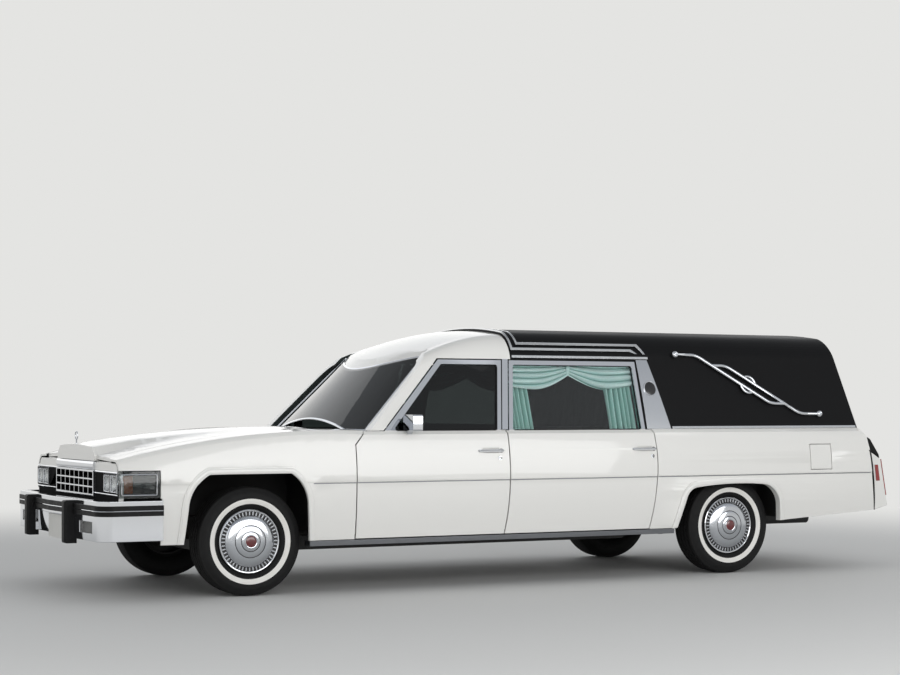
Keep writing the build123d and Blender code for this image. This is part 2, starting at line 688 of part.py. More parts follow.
# Cab shell: front roof dome, screen pillars, cowl, hinge posts and middle door posts
pillar_base_depth = 84
cowl_bottom_z = 1016
cowl_top_z = 1036
hinge_post = (74, 84)
post_y = belt_y - door_depth - 26
post_head_z = 990
cowl_side_y = 798
cowl_side_width = 170
cowl_lead = 76
cowl_side_x = front_axle_x - screen_base_behind + cowl_lead
hinge_post_x = front_gap_x - box_inset + gap
post_depth = 18
post_half_lower = 18
with BuildPart() as cab_shell:
    add(dome_solid(0, 0))
    add(dome_solid(pillar_base_depth, roof_wall), mode=Mode.SUBTRACT)
    add(screen_front.part, mode=Mode.SUBTRACT)
    add(side_prism(front_openings, 0), mode=Mode.SUBTRACT)
    add(mirror(side_prism(front_openings, 0), about=Plane.XZ), mode=Mode.SUBTRACT)
    with BuildSketch(Plane.XY.offset(cowl_bottom_z)):
        with BuildLine():
            x = front_axle_x
            corner = (x - screen_base_behind - 40, 880)
            Polyline((corner[0], corner[1]), (cowl_side_x, corner[1]), (cowl_side_x, fender_inner_y - gap),
                     (x - hood_rear_behind - gap, fender_inner_y - gap),
                     (x - hood_rear_behind - gap, gap - fender_inner_y), (cowl_side_x, gap - fender_inner_y),
                     (cowl_side_x, -corner[1]), (corner[0], -corner[1]))
            ThreePointArc((corner[0], -corner[1]), (corner[0] + screen_bow, 0), corner)
        make_face()
    extrude(amount=cowl_top_z - cowl_bottom_z)
    with BuildSketch(Plane.XY.offset(cowl_top_z)):
        for side in (-1, 1):
            with Locations((x - screen_base_behind - 8, side * (glass_base_y - pillar_base_depth + 24))):
                Rectangle(70, 44)
    extrude(amount=glass_base_z - cowl_top_z + 2)
    for side in (-1, 1):
        with Locations((hinge_post_x, side * post_y, sill_top_z - 4)):
            Box(hinge_post[0], hinge_post[1], post_head_z - sill_top_z + 4, align=(Align.MIN, Align.CENTER, Align.MIN))
        with Locations((cowl_side_x, side * cowl_side_y, post_head_z - 10)):
            Box(hinge_post_x + hinge_post[0] - gap - cowl_side_x, cowl_side_width, cowl_bottom_z + 14 - post_head_z,
                align=(Align.MIN, Align.CENTER, Align.MIN))
        with Locations((b_gap_x, side * post_y, sill_top_z - 4)):
            Box(2 * post_half_lower, 40, crease_z - sill_top_z, align=(Align.CENTER, Align.CENTER, Align.MIN))
        with Locations((b_gap_x, side * post_y, crease_z - 130)):
            Box(2 * post_half_lower, 2 * (belt_y - post_depth - post_y), post_head_z - crease_z + 130,
                align=(Align.CENTER, Align.CENTER, Align.MIN))
        with Locations((b_gap_x, side * post_y, post_head_z - 10)):
            Box(2 * post_half_lower, 84, glass_base_z - post_head_z + 14,
                align=(Align.CENTER, Align.CENTER, Align.MIN))
    with BuildSketch(Plane.YZ.offset(b_gap_x - 200)):
        with BuildLine():
            window_band(0, frame_depth, z_low=glass_base_z - 40)
        make_face()
    post = extrude(amount=400, mode=Mode.PRIVATE)
    post_lean = b_post_lean * (rail_z - glass_base_z) / (frame_top_z - glass_base_z)
    with BuildSketch(Plane.XZ):
        with BuildLine():
            Polyline((b_gap_x - post_half + gap / 2, glass_base_z + 2), (b_gap_x + post_half - gap / 2, glass_base_z + 2),
                     (b_gap_x + post_half - gap / 2 - post_lean, rail_z),
                     (b_gap_x - post_half + gap / 2 - post_lean, rail_z), close=True)
        make_face()
    upright = extrude(amount=-reach, mode=Mode.PRIVATE)
    left_post = post & upright
    add(left_post)
    add(mirror(left_post, about=Plane.XZ))
keep("cab_shell", cab_shell.part)

# Rear roof: straight shell with closed sides behind the rear doors and a rear wall around the rear door
vinyl_front_x = front_axle_x - dome_end_behind - 2
with BuildPart() as vinyl_roof:
    add(roof_block(0, rear_axle_x - tail_end_behind, vinyl_front_x))
    add(roof_block(roof_wall, rear_axle_x - tail_end_behind, vinyl_front_x), mode=Mode.SUBTRACT)
    add(tail_slab(tail_wall) & roof_block(0, rear_axle_x - tail_end_behind, vinyl_front_x))
    with BuildSketch(Plane.XZ):
        with BuildLine():
            Polyline((rear_frame_end_x - gap / 2, 0), (rear_frame_end_x - gap / 2, frame_top_z + gap / 2),
                     (reach, frame_top_z + gap / 2), (reach, 0), close=True)
        make_face()
    extrude(amount=reach, both=True, mode=Mode.SUBTRACT)
    with BuildSketch(Plane.XZ):
        with BuildLine():
            ahead_of_tail()
        make_face()
    extrude(amount=reach, both=True, mode=Mode.INTERSECT)
    add(rear_door_prism(gap / 2), mode=Mode.SUBTRACT)
keep("vinyl_roof", vinyl_roof.part)

# Rear quarters: body side with the wheel arch, turned around the rear corner, and a filler recess on the left
fuel_behind = 748
fuel_size = (186, 178)
fuel_z = 830
fuel_recess = 30
fuel_gap = 5
rear_arch_z = 648


def rear_arch():
    """Rear wheel opening: low flat top, drawn out to the front."""
    x = rear_axle_x
    Polyline((x + 430, 560), (x + 515, sill_bottom_z), (x + 515, 0), (x - 384, 0), (x - 384, 380), (x - 372, 505))
    ThreePointArc((x - 372, 505), (x - 330, 588), (x - 240, rear_arch_z - 8))
    ThreePointArc((x - 240, rear_arch_z - 8), (x + 50, rear_arch_z), (x + 335, rear_arch_z - 16))
    ThreePointArc((x + 335, rear_arch_z - 16), (x + 398, 606), (x + 430, 560))


def quarter_outline():
    """Quarter panel in side view: behind the rear door, ahead of the tail, with a rising lower edge."""
    Polyline((rear_gap_x + 70, glass_base_z), *tail_profile[1:], (rear_axle_x - 380, sill_top_z + 30),
             (rear_axle_x, sill_top_z), (rear_gap_x + 70, sill_top_z), close=True)


def fuel_outline():
    """Fuel filler door in side view."""
    x = rear_axle_x - fuel_behind
    Polyline((x - fuel_size[0] / 2, fuel_z - fuel_size[1] / 2), (x + fuel_size[0] / 2, fuel_z - fuel_size[1] / 2),
             (x + fuel_size[0] / 2, fuel_z + fuel_size[1] / 2), (x - fuel_size[0] / 2, fuel_z + fuel_size[1] / 2),
             close=True)


tail_end_x = rear_axle_x - tail_end_behind
with BuildPart() as quarter:
    add(side_slab(tail_end_x, rear_gap_x + 60, 0, quarter_wall))
    add(side_slab(tail_end_x, rear_gap_x + 60, -flare_proud, quarter_wall / 2) & side_prism(rear_arch, flare_width))
    with BuildSketch(Plane.YZ.offset(tail_end_x)):
        with BuildLine():
            side_band(0, belt_y - rear_door_half)
        make_face()
    corner_block = extrude(amount=rear_gap_x - tail_end_x, mode=Mode.PRIVATE)
    add(tail_slab(tail_wall) & corner_block)
    add(side_prism(quarter_outline, 0), mode=Mode.INTERSECT)
    add(side_prism(rear_door_outline, gap / 2), mode=Mode.SUBTRACT)
    add(side_prism(rear_arch, 0), mode=Mode.SUBTRACT)
    add(rear_door_prism(gap / 2), mode=Mode.SUBTRACT)
with BuildPart() as left_quarter:
    add(quarter.part)
    add(side_slab(tail_end_x, rear_axle_x, 0, fuel_recess) & side_prism(fuel_outline, fuel_gap), mode=Mode.SUBTRACT)
keep("quarters", Part() + [left_quarter.part, mirror(quarter.part, about=Plane.XZ)])
keep("fuel_door", side_slab(tail_end_x, rear_axle_x, 0, skin) & side_prism(fuel_outline, 0))

# Rear door with its window and pull handle
rear_window_half = 430
rear_window_top_half = 380
rear_window_bottom_z = 1130
rear_window_top_z = 1560
rear_glass_set = 14


def rear_window_prism():
    """Rear door window seen from behind, as a solid along the car."""
    with BuildPart() as prism:
        with BuildSketch(Plane.YZ.offset(rear_axle_x - reach)) as face:
            with BuildLine():
                Polyline((-rear_window_half, rear_window_bottom_z), (-rear_window_top_half, rear_window_top_z),
                         (rear_window_top_half, rear_window_top_z), (rear_window_half, rear_window_bottom_z),
                         close=True)
            make_face()
            fillet(face.vertices(), rear_door_radius)
        extrude(amount=reach)
    return prism.part


with BuildPart() as tail_door:
    add(tail_slab(tail_wall) & rear_door_prism(-gap / 2))
    add(rear_window_prism(), mode=Mode.SUBTRACT)
    with Locations((rear_axle_x - tail_belt_behind - 20, -rear_door_half + 110, 985)):
        Box(60, 60, 150)
keep("rear_door", tail_door.part)
with BuildPart() as tail_glass:
    add(tail_slab(rear_glass_set + glass))
    add(tail_slab(rear_glass_set), mode=Mode.SUBTRACT)
    add(rear_window_prism(), mode=Mode.INTERSECT)
keep("rear_door_glass", tail_glass.part)

# Sills under the doors
sill_front_x = front_axle_x - 376
sill_rear_x = rear_axle_x + 520
sill_depth = 90
with BuildPart() as sill:
    add(side_slab(sill_rear_x, sill_front_x, 0, sill_depth))
    with Locations((0, 0, sill_bottom_z)):
        Box(2 * reach, 2 * reach, sill_top_z - sill_bottom_z - 4, align=(Align.CENTER, Align.CENTER, Align.MIN),
            mode=Mode.INTERSECT)
keep("sills", both_sides(sill.part))

# Bright mouldings: drip rails, belt line of the closed quarters, and two roof bands that hoop over the roof
moulding = 9
moulding_width = 17
hook_run = 46


def on_roof(outline, x_rear, x_front):
    """Left half of a moulding: a side-view outline laid on the rear roof's outer face."""
    layer = roof_block(-moulding, x_rear, x_front) - roof_block(0, x_rear - 1, x_front + 1)
    with BuildPart() as strip:
        with BuildSketch(Plane.XZ):
            with BuildLine():
                Polyline(*outline, close=True)
            make_face()
        extrude(amount=-reach)
        add(layer, mode=Mode.INTERSECT)
    return strip.part


def straight_band(behind_rear, behind_front, low):
    """Plain band between two stations behind the front axle."""
    rear = front_axle_x - behind_rear
    front = front_axle_x - behind_front
    high = low + moulding_width
    return on_roof([(rear, low), (front, low), (front, high), (rear, high)], rear, front)


def hooped_band(behind_rear, behind_front, low, hook):
    """Band with a rear end hooked down to the drip rail and a front end that rises into a hoop over the roof."""
    rear = front_axle_x - behind_rear
    front = front_axle_x - behind_front
    high = low + moulding_width
    top = roof_z + 2 * moulding
    outline = [(front, low), (rear, low), (rear - hook_run, low - hook), (rear - hook_run - moulding_width, low - hook),
               (rear - moulding_width, high), (front - moulding_width, high), (front - moulding_width, top), (front, top)]
    return on_roof(outline, rear - hook_run - moulding_width, front)


# Columns: distance of the rear and front ends behind the front axle, lower height
straight_bands = [(3046, dome_end_behind + 10, 1531), (4788, 3160, 1041)]
# Columns: the same, and the drop of the hook
hooped_bands = [(2900, dome_end_behind + 10, 1584, 16), (2966, dome_end_behind + 60, 1622, 56)]
strips = [straight_band(*band) for band in straight_bands] + [hooped_band(*band) for band in hooped_bands]
keep("bright_mouldings", Part() + strips + [mirror(strip, about=Plane.XZ) for strip in strips])

# Bright panels on the posts behind the rear doors
panel_thickness = 4
panel_foot = (rear_frame_end_x - 12, rear_gap_x - 160)
panel_head = (rear_frame_end_x - 8, rear_gap_x - 48)
panel_top_z = 1526
with BuildPart() as pillar_panel:
    with BuildSketch(Plane.YZ.offset(rear_gap_x - 400)):
        with BuildLine():
            window_band(-panel_thickness, 0)
        make_face()
    extrude(amount=600)
    with BuildSketch(Plane.XZ):
        with BuildLine():
            Polyline((panel_foot[0], glass_base_z), (panel_foot[1], glass_base_z), (panel_head[1], panel_top_z),
                     (panel_head[0], panel_top_z), close=True)
        make_face()
    extrude(amount=-reach, mode=Mode.INTERSECT)
keep("pillar_panels", both_sides(pillar_panel.part))

# Landau bars: two round rods, each the other's half turn, with a broken ring in the middle and an eye at each end
landau_centre_behind = 198
landau_centre_z = 1350
landau_rod = 9
landau_stand = 10
landau_bend = 170
landau_ring = 62
landau_ring_wire = 7
landau_ring_gap = 58
landau_eye = 23
landau_eye_bore = 10
landau_foot = 11
# Columns: distance ahead of the middle, height up the leaning side
landau_path = [(593, 221), (418, 219), (-172, -142), (-294, -143)]
landau_turn = 31.5
side_lean = (glass_base_y - rail_y) / (rail_z - glass_base_z)
landau_y = glass_base_y - (landau_centre_z - glass_base_z) * side_lean
landau_plane = Plane(origin=(rear_axle_x - landau_centre_behind, landau_y, landau_centre_z), x_dir=(1, 0, 0),
                     z_dir=(0, -1, -side_lean)).offset(-landau_stand - landau_rod)

with BuildPart() as landau_bar:
    with BuildSketch(landau_plane):
        Rectangle(4 * landau_ring, landau_ring_gap, rotation=landau_turn)
    ring_slot = extrude(amount=landau_ring, both=True, mode=Mode.PRIVATE)
    with Locations(landau_plane):
        Torus(landau_ring, landau_ring_wire)
    add(ring_slot, mode=Mode.SUBTRACT)
    for half_turn in (1, -1):
        with BuildLine(landau_plane) as rod_line:
            FilletPolyline(*[(half_turn * ahead, half_turn * up) for ahead, up in landau_path], radius=landau_bend)
        with BuildSketch(Plane(origin=rod_line.line @ 0, z_dir=rod_line.line % 0)):
            Circle(landau_rod)
        sweep()
        with Locations(landau_plane.location * Location((half_turn * landau_path[0][0], half_turn * landau_path[0][1], 0))):
            Sphere(landau_eye)
            Cylinder(landau_foot, 4 * landau_eye, align=(Align.CENTER, Align.CENTER, Align.MIN))
            with Locations((0, 0, -landau_eye)):
                Cylinder(landau_eye_bore, landau_eye, mode=Mode.SUBTRACT)
    add(roof_block(0, rear_axle_x - tail_end_behind, rear_gap_x), mode=Mode.SUBTRACT)
keep("landau_bars", both_sides(landau_bar.part))

# Tail fins with their lamps
fin_inner_y = 900
fin_outer_y = 988
fin_top_z = 869
fin_lamp = 14
# Columns: distance behind the rear axle, height
fin_shape = [(1207, fin_top_z), (1311, 805), (1360, 535), (1376, 459), (1254, 428), (1236, 650)]
lamp_shape = [(1311, 805), (1360, 535), (1360 + fin_lamp, 535), (1311 + fin_lamp, 805)]
side_lamp_shape = [(1252, 764), (1282, 764), (1300, 645), (1266, 645)]


def tail_prism(shape, y_low, y_high):
    """Solid between two planes across the car from a side-view polygon behind the rear axle."""
    with BuildPart() as prism:
        with BuildSketch(Plane.XZ.offset(-y_low)):
            with BuildLine():
                Polyline(*[(rear_axle_x - behind, z) for behind, z in shape], close=True)
            make_face()
        extrude(amount=y_low - y_high)
    return prism.part


keep("tail_fins", both_sides(tail_prism(fin_shape, fin_inner_y, fin_outer_y)))
tail_lights = [tail_prism(lamp_shape, fin_inner_y + 10, fin_outer_y - 10),
               tail_prism(side_lamp_shape, fin_outer_y, fin_outer_y + 5)]
keep("tail_lamps", Part() + tail_lights + [mirror(light, about=Plane.XZ) for light in tail_lights])

# Rear bumper between the fins
rear_bumper_behind = 1430
rear_bumper_wall = 70
fin_clearance = 4
rear_bumper_half = fin_inner_y - fin_clearance
rear_bumper_bottom_z = 428
rear_bumper_top_z = 596
with BuildPart() as rear_bumper:
    with BuildSketch(Plane.XY.offset(rear_bumper_bottom_z)):
        with BuildLine():
            back = rear_axle_x - rear_bumper_behind
            ends = [(back + 70, rear_bumper_half), (back + 70, -rear_bumper_half)]
            Polyline(ends[0], (back + 70 + rear_bumper_wall, rear_bumper_half),
                     (back + 70 + rear_bumper_wall, -rear_bumper_half), ends[1])
            ThreePointArc(ends[0], (back, 0), ends[1])
        make_face()
    extrude(amount=rear_bumper_top_z - rear_bumper_bottom_z)
    fillet(rear_bumper.edges().filter_by(GeomType.CIRCLE), 16)
keep("rear_bumper", rear_bumper.part)

# Rubber strips and guards on both bumpers, and two blank plates
strip_low_z = 528
strip_high_z = 592
strip_thickness = 8
guard_y = 452
guard_width = 74
guard_top_z = 610
guard_bottom_z = 342
rear_guard_bottom_z = 400
rear_guard_top_z = 590
plate_size = (6, 304, 152)
front_plate_z = 425
rear_plate_z = 512
with BuildPart() as front_strip:
    add(bumper_solid(strip_thickness, strip_low_z, strip_high_z))
    add(bumper_solid(0, strip_low_z, strip_high_z), mode=Mode.SUBTRACT)
guard_front_x = front_axle_x + front_overhang
with BuildPart() as front_guard:
    with Locations((guard_front_x, guard_y, guard_bottom_z)):
        Box(80, guard_width, guard_top_z - guard_bottom_z, align=(Align.MAX, Align.CENTER, Align.MIN))
    fillet(front_guard.faces().sort_by(Axis.X)[-1].edges(), 18)
    add(bumper_solid(0, bumper_bottom_z, bumper_top_z), mode=Mode.SUBTRACT)
    add(front_strip.part)
with BuildPart() as rear_guard:
    with Locations((rear_axle_x - rear_overhang, guard_y, rear_guard_bottom_z)):
        Box(90, guard_width, rear_guard_top_z - rear_guard_bottom_z, align=(Align.MIN, Align.CENTER, Align.MIN))
    fillet(rear_guard.faces().sort_by(Axis.X)[0].edges(), 18)
    add(rear_bumper.part, mode=Mode.SUBTRACT)
rubbers = [solid for guard in (front_guard, rear_guard) for solid in guard.part.solids()]
keep("bumper_rubber", Part() + rubbers + [mirror(solid, about=Plane.XZ) for solid in rubbers])
with BuildPart() as plates:
    with Locations((back_x + bumper_wall - recess_depth, 0, front_plate_z)):
        Box(*plate_size, align=(Align.MIN, Align.CENTER, Align.CENTER))
    with Locations((back, 0, rear_plate_z)):
        Box(*plate_size, align=(Align.MAX, Align.CENTER, Align.CENTER))
keep("blank_plates", plates.part)

# Wheels: tyre ring, pressed wheel with brake drum, hub and cover
tread_half = 80
bead_y = 68
rim_inner_radius = 176
drum_radius = 140
drum_inner_y = -30
disc_y = 8
disc_thickness = 10
hub_radius = 56
cover_y = 74
slot_count = 32
slot_inner_radius = 164
slot_outer_radius = 186
slot_width = 8
with BuildPart() as tyre:
    with BuildSketch(Plane.XY):
        with BuildLine():
            half = tyre_width / 2
            for side in (-1, 1):
                Polyline((rim_radius, side * bead_y), (rim_radius + 14, side * (bead_y + 4)))
                ThreePointArc((rim_radius + 14, side * (bead_y + 4)), (272, side * half),
                              (tyre_radius - 16, side * (tread_half + 10)))
                Line((tyre_radius - 16, side * (tread_half + 10)), (tyre_radius - 2, side * tread_half))
            Line((rim_radius, -bead_y), (rim_radius, bead_y))
            ThreePointArc((tyre_radius - 2, -tread_half), (tyre_radius, 0), (tyre_radius - 2, tread_half))
        make_face()
    revolve(axis=Axis.Y)
with BuildPart() as wheel:
    with BuildSketch(Plane.XY):
        with BuildLine():
            bore = spindle_radius + running_clearance
            Polyline((bore, drum_inner_y), (drum_radius, drum_inner_y), (drum_radius, disc_y),
                     (rim_inner_radius, disc_y), (rim_inner_radius, -bead_y), (rim_radius, -bead_y),
                     (rim_radius, bead_y), (rim_inner_radius, bead_y), (rim_inner_radius, disc_y + disc_thickness),
                     (hub_radius, disc_y + disc_thickness), (hub_radius, bead_y - 6), (bore, bead_y - 6), close=True)
        make_face()
        with BuildLine():
            Polyline((0, cover_y + 8), (rim_inner_radius - 6, cover_y - 4), (rim_inner_radius - 6, bead_y - 8),
                     (rim_inner_radius, bead_y - 8), (rim_inner_radius, bead_y), (rim_radius, bead_y + 5),
                     (cover_radius, cover_y + 6), (cover_radius - 6, cover_y + cover_depth),
                     (slot_outer_radius, cover_y + cover_depth), (slot_inner_radius, cover_y + 12),
                     (100, cover_y + 20), (38, cover_y + 16), (36, cover_y + 30), (0, cover_y + 34), close=True)
        make_face()
    revolve(axis=Axis.Y)
    slot_y = cover_y + cover_depth
    slot_length = slot_outer_radius - slot_inner_radius
    with BuildSketch(Plane.XZ.offset(-slot_y - 4)):
        with PolarLocations((slot_inner_radius + slot_outer_radius) / 2, slot_count):
            Rectangle(slot_length, slot_width)
    extrude(amount=14, mode=Mode.SUBTRACT)
# Columns: node ending, axle station, side of the car
wheel_places = [("front_left", front_axle_x, 1), ("front_right", front_axle_x, -1), ("rear_left", rear_axle_x, 1),
                ("rear_right", rear_axle_x, -1)]
right_tyre = mirror(tyre.part, about=Plane.XZ)
right_wheel = mirror(wheel.part, about=Plane.XZ)
for place, axle_x, side in wheel_places:
    spot = Location((axle_x, side * wheel_y, axle_z))
    keep(f"tyre_{place}", spot * (tyre.part if side > 0 else right_tyre))
    keep(f"wheel_{place}", spot * (wheel.part if side > 0 else right_wheel))

# Front knuckles: steering pin, upright and wheel spindle
kingpin_y = 728
kingpin_radius = 12
arm_low_z = 236
arm_high_z = 454
arm_thickness = 26
knuckle_gap = 5
spindle_end = bead_y - 8
eye_radius = 28
with BuildPart() as knuckle:
    with Locations((front_axle_x, kingpin_y, arm_low_z - 6)):
        Cylinder(kingpin_radius, arm_high_z - arm_low_z + arm_thickness + 12,
                 align=(Align.CENTER, Align.CENTER, Align.MIN))
    with Locations((front_axle_x, kingpin_y, arm_low_z + arm_thickness + knuckle_gap)):
        Box(52, 44, arm_high_z - arm_low_z - arm_thickness - 2 * knuckle_gap,
            align=(Align.CENTER, Align.CENTER, Align.MIN))
    with Locations(Location((front_axle_x, kingpin_y, axle_z), (-90, 0, 0))):
        Cylinder(spindle_radius, wheel_y + spindle_end - kingpin_y, align=(Align.CENTER, Align.CENTER, Align.MIN))
keep_pair("knuckle", knuckle.part)

# Chassis frame: two kicked-up side rails with crossmembers
rail_centre_y = 432
rail_width = 64
rail_height = 90
# Columns: distance behind the front axle, height of the rail's middle
rail_path = [(-955, 440), (260, 440), (520, 292), (3020, 292), (3300, 500), (4060, 500), (4958, 470)]
# Columns: distance behind the front axle, lower height, upper height, length
crossmembers = [(-700, 400, 470, 60), (900, 248, 284, 90), (2000, 248, 284, 90), (2900, 248, 284, 90),
                (4120, 470, 530, 70), (4850, 440, 500, 70)]
with BuildPart() as chassis:
    with BuildSketch(Plane.XZ.offset(-rail_centre_y + rail_width / 2)):
        with BuildLine() as rail_line:
            Polyline(*[(front_axle_x - behind, z) for behind, z in rail_path])
        trace(rail_line.line, line_width=rail_height)
    extrude(amount=-rail_width)
    mirror(about=Plane.XZ)
    for behind, low, high, length in crossmembers:
        with Locations((front_axle_x - behind, 0, low)):
            Box(length, 2 * rail_centre_y, high - low, align=(Align.CENTER, Align.CENTER, Align.MIN))
keep("chassis_frame", chassis.part)

# Front suspension: crossmember, towers and two arms a side with eyes for the steering pins
arm_width = 56
rail_outer_y = rail_centre_y + rail_width / 2
with BuildPart() as suspension_half:
    with Locations((front_axle_x, 0, arm_low_z - 6)):
        Box(120, rail_outer_y, 70, align=(Align.CENTER, Align.MIN, Align.MIN))
    with Locations((front_axle_x, rail_centre_y, arm_low_z)):
        Box(120, rail_width, 395 - arm_low_z, align=(Align.CENTER, Align.CENTER, Align.MIN))
    for arm_z in (arm_low_z, arm_high_z):
        with Locations((front_axle_x, rail_outer_y, arm_z)):
            Box(arm_width, kingpin_y - rail_outer_y, arm_thickness, align=(Align.CENTER, Align.MIN, Align.MIN))
        with Locations((front_axle_x, kingpin_y, arm_z)):
            Cylinder(eye_radius, arm_thickness, align=(Align.CENTER, Align.CENTER, Align.MIN))
        with Locations((front_axle_x, kingpin_y, arm_z)):
            Cylinder(kingpin_radius + running_clearance, arm_thickness, align=(Align.CENTER, Align.CENTER, Align.MIN),
                     mode=Mode.SUBTRACT)
keep("front_suspension", both_sides(suspension_half.part))

# Rear axle: tube with a differential case, wheel spindles and leaf springs on pads
tube_radius = 42
tube_half = wheel_y + drum_inner_y - 12
spring_y = 500
spring_width = 60
spring_thickness = 22
spring_half = 620
with BuildPart() as rear_axle:
    with Locations(Location((rear_axle_x, 0, axle_z), (90, 0, 0))):
        Cylinder(tube_radius, 2 * tube_half)
        Cylinder(spindle_radius, 2 * (wheel_y + spindle_end))
    with Locations((rear_axle_x, 0, axle_z)):
        Sphere(118)
    for side in (-1, 1):
        with Locations((rear_axle_x, side * spring_y, axle_z)):
            Box(110, spring_width, 70, align=(Align.CENTER, Align.CENTER, Align.MIN))
        with Locations((rear_axle_x, side * spring_y, axle_z + 60)):
            Box(2 * spring_half, spring_width, spring_thickness, align=(Align.CENTER, Align.CENTER, Align.MIN))
        for end in (-1, 1):
            with Locations((rear_axle_x + end * (spring_half - 30), side * spring_y, axle_z + 60)):
                Box(60, spring_width, 90, align=(Align.CENTER, Align.CENTER, Align.MIN))
keep("rear_axle", rear_axle.part)

# Engine as one plain block with its gearbox and propeller shaft, and the radiator
shaft_z = 336
shaft_radius = 36
with BuildPart() as engine:
    with Locations((front_axle_x + 350, 0, 330)):
        Box(680, 480, 510, align=(Align.MAX, Align.CENTER, Align.MIN))
    with Locations((front_axle_x - 320, 0, 290)):
        Box(280, 300, 240, align=(Align.MAX, Align.CENTER, Align.MIN))
    shaft_length = wheelbase - 590 - 110
    with Locations(Location((front_axle_x - 590, 0, shaft_z), (0, -90, 0))):
        Cylinder(shaft_radius, shaft_length, align=(Align.CENTER, Align.CENTER, Align.MIN))
    add(rear_axle.part, mode=Mode.SUBTRACT)
with BuildPart() as radiator:
    with Locations((nose_x - 130, 0, 500)):
        Box(60, 780, 340, align=(Align.MAX, Align.CENTER, Align.MIN))
keep("engine_and_shaft", Part() + [engine.part, radiator.part])

# Exhaust and fuel tank
pipe_radius = 26
pipe_y = -600
pipe_z = 262
tank_size = (600, 720, 170)
with BuildPart() as exhaust:
    with Locations(Location((rear_axle_x - 1240, pipe_y, pipe_z), (0, 90, 0))):
        Cylinder(pipe_radius, 4180, align=(Align.CENTER, Align.CENTER, Align.MIN))
    with Locations((front_axle_x - 1900, pipe_y, pipe_z)):
        Box(700, 180, 96)
    fillet(exhaust.edges().filter_by(Axis.X), 30)
with BuildPart() as fuel_tank:
    with Locations((rear_axle_x - 830, 0, 300)):
        Box(*tank_size, align=(Align.CENTER, Align.CENTER, Align.MIN))
    fillet(fuel_tank.edges().filter_by(Axis.X), 40)
keep("exhaust", exhaust.part)
keep("fuel_tank", fuel_tank.part)

# Floor pan: cabin floor, load floor, bulkhead, wheel houses and the rear sill under the rear door
floor_z = 396
floor_thickness = 8
floor_half = 812
load_floor_z = 600
bulkhead_behind = 628
house_wall = 6
front_house_top_z = 790
rear_house_inner_y = 660
rear_house_top_z = 712
house_outer_y = 915
apron_y = 476
load_front_x = rear_axle_x + 700
house_front = 560
house_rear = 410
rear_sill_z = 530
floor_front_x = front_axle_x - bulkhead_behind
rear_end_x = rear_axle_x - tail_end_behind + tail_wall + 40
# Columns: front and rear end, half width
load_floors = [
    (load_front_x, rear_axle_x + house_front, floor_half),
    (rear_axle_x + house_front, rear_axle_x - house_rear, rear_house_inner_y),
    (rear_axle_x - house_rear, rear_end_x, floor_half),
]
with BuildPart() as floor_half_pan:
    with Locations((floor_front_x, 0, floor_z)):
        Box(floor_front_x - load_front_x, floor_half, floor_thickness, align=(Align.MAX, Align.MIN, Align.MIN))
        Box(floor_thickness, floor_half - 6, cowl_bottom_z - floor_z, align=(Align.MAX, Align.MIN, Align.MIN))
    with Locations((load_front_x, 0, floor_z)):
        Box(floor_thickness, floor_half, load_floor_z - floor_z + floor_thickness,
            align=(Align.MIN, Align.MIN, Align.MIN))
    for front_x, back_x_end, half in load_floors:
        with Locations((front_x, 0, load_floor_z)):
            Box(front_x - back_x_end, half, floor_thickness, align=(Align.MAX, Align.MIN, Align.MIN))
    house_height = rear_house_top_z - floor_z
    house_width = house_outer_y - rear_house_inner_y
    with Locations((rear_axle_x - house_rear, rear_house_inner_y, floor_z)):
        Box(house_front + house_rear, house_wall, house_height, align=(Align.MIN, Align.MIN, Align.MIN))
        Box(house_wall, house_width, house_height, align=(Align.MAX, Align.MIN, Align.MIN))
    with Locations((rear_axle_x + house_front, rear_house_inner_y, floor_z)):
        Box(house_wall, floor_half - rear_house_inner_y, house_height, align=(Align.MAX, Align.MIN, Align.MIN))
    with Locations((rear_axle_x - house_rear - house_wall, rear_house_inner_y, rear_house_top_z)):
        Box(house_front + house_rear + house_wall, house_width, house_wall, align=(Align.MIN, Align.MIN, Align.MIN))
    with Locations((rear_end_x, 0, rear_sill_z)):
        Box(40, rear_door_half - 20, load_floor_z - rear_sill_z, align=(Align.MIN, Align.MIN, Align.MIN))
with BuildPart() as apron:
    with Locations((front_axle_x - 420, apron_y, 500)):
        Box(1180, house_wall, front_house_top_z - 500, align=(Align.MIN, Align.MIN, Align.MIN))
    with Locations((front_axle_x - 420, apron_y, front_house_top_z)):
        Box(906, house_outer_y - apron_y, house_wall, align=(Align.MIN, Align.MIN, Align.MIN))
    for wall_x in (-420, 480):
        with Locations((front_axle_x + wall_x, apron_y, 400)):
            Box(house_wall, house_outer_y - apron_y, front_house_top_z - 400, align=(Align.MIN, Align.MIN, Align.MIN))
pans = [floor_half_pan.part + mirror(floor_half_pan.part, about=Plane.XZ)]
keep("floor_pan", Part() + pans + [apron.part, mirror(apron.part, about=Plane.XZ)])

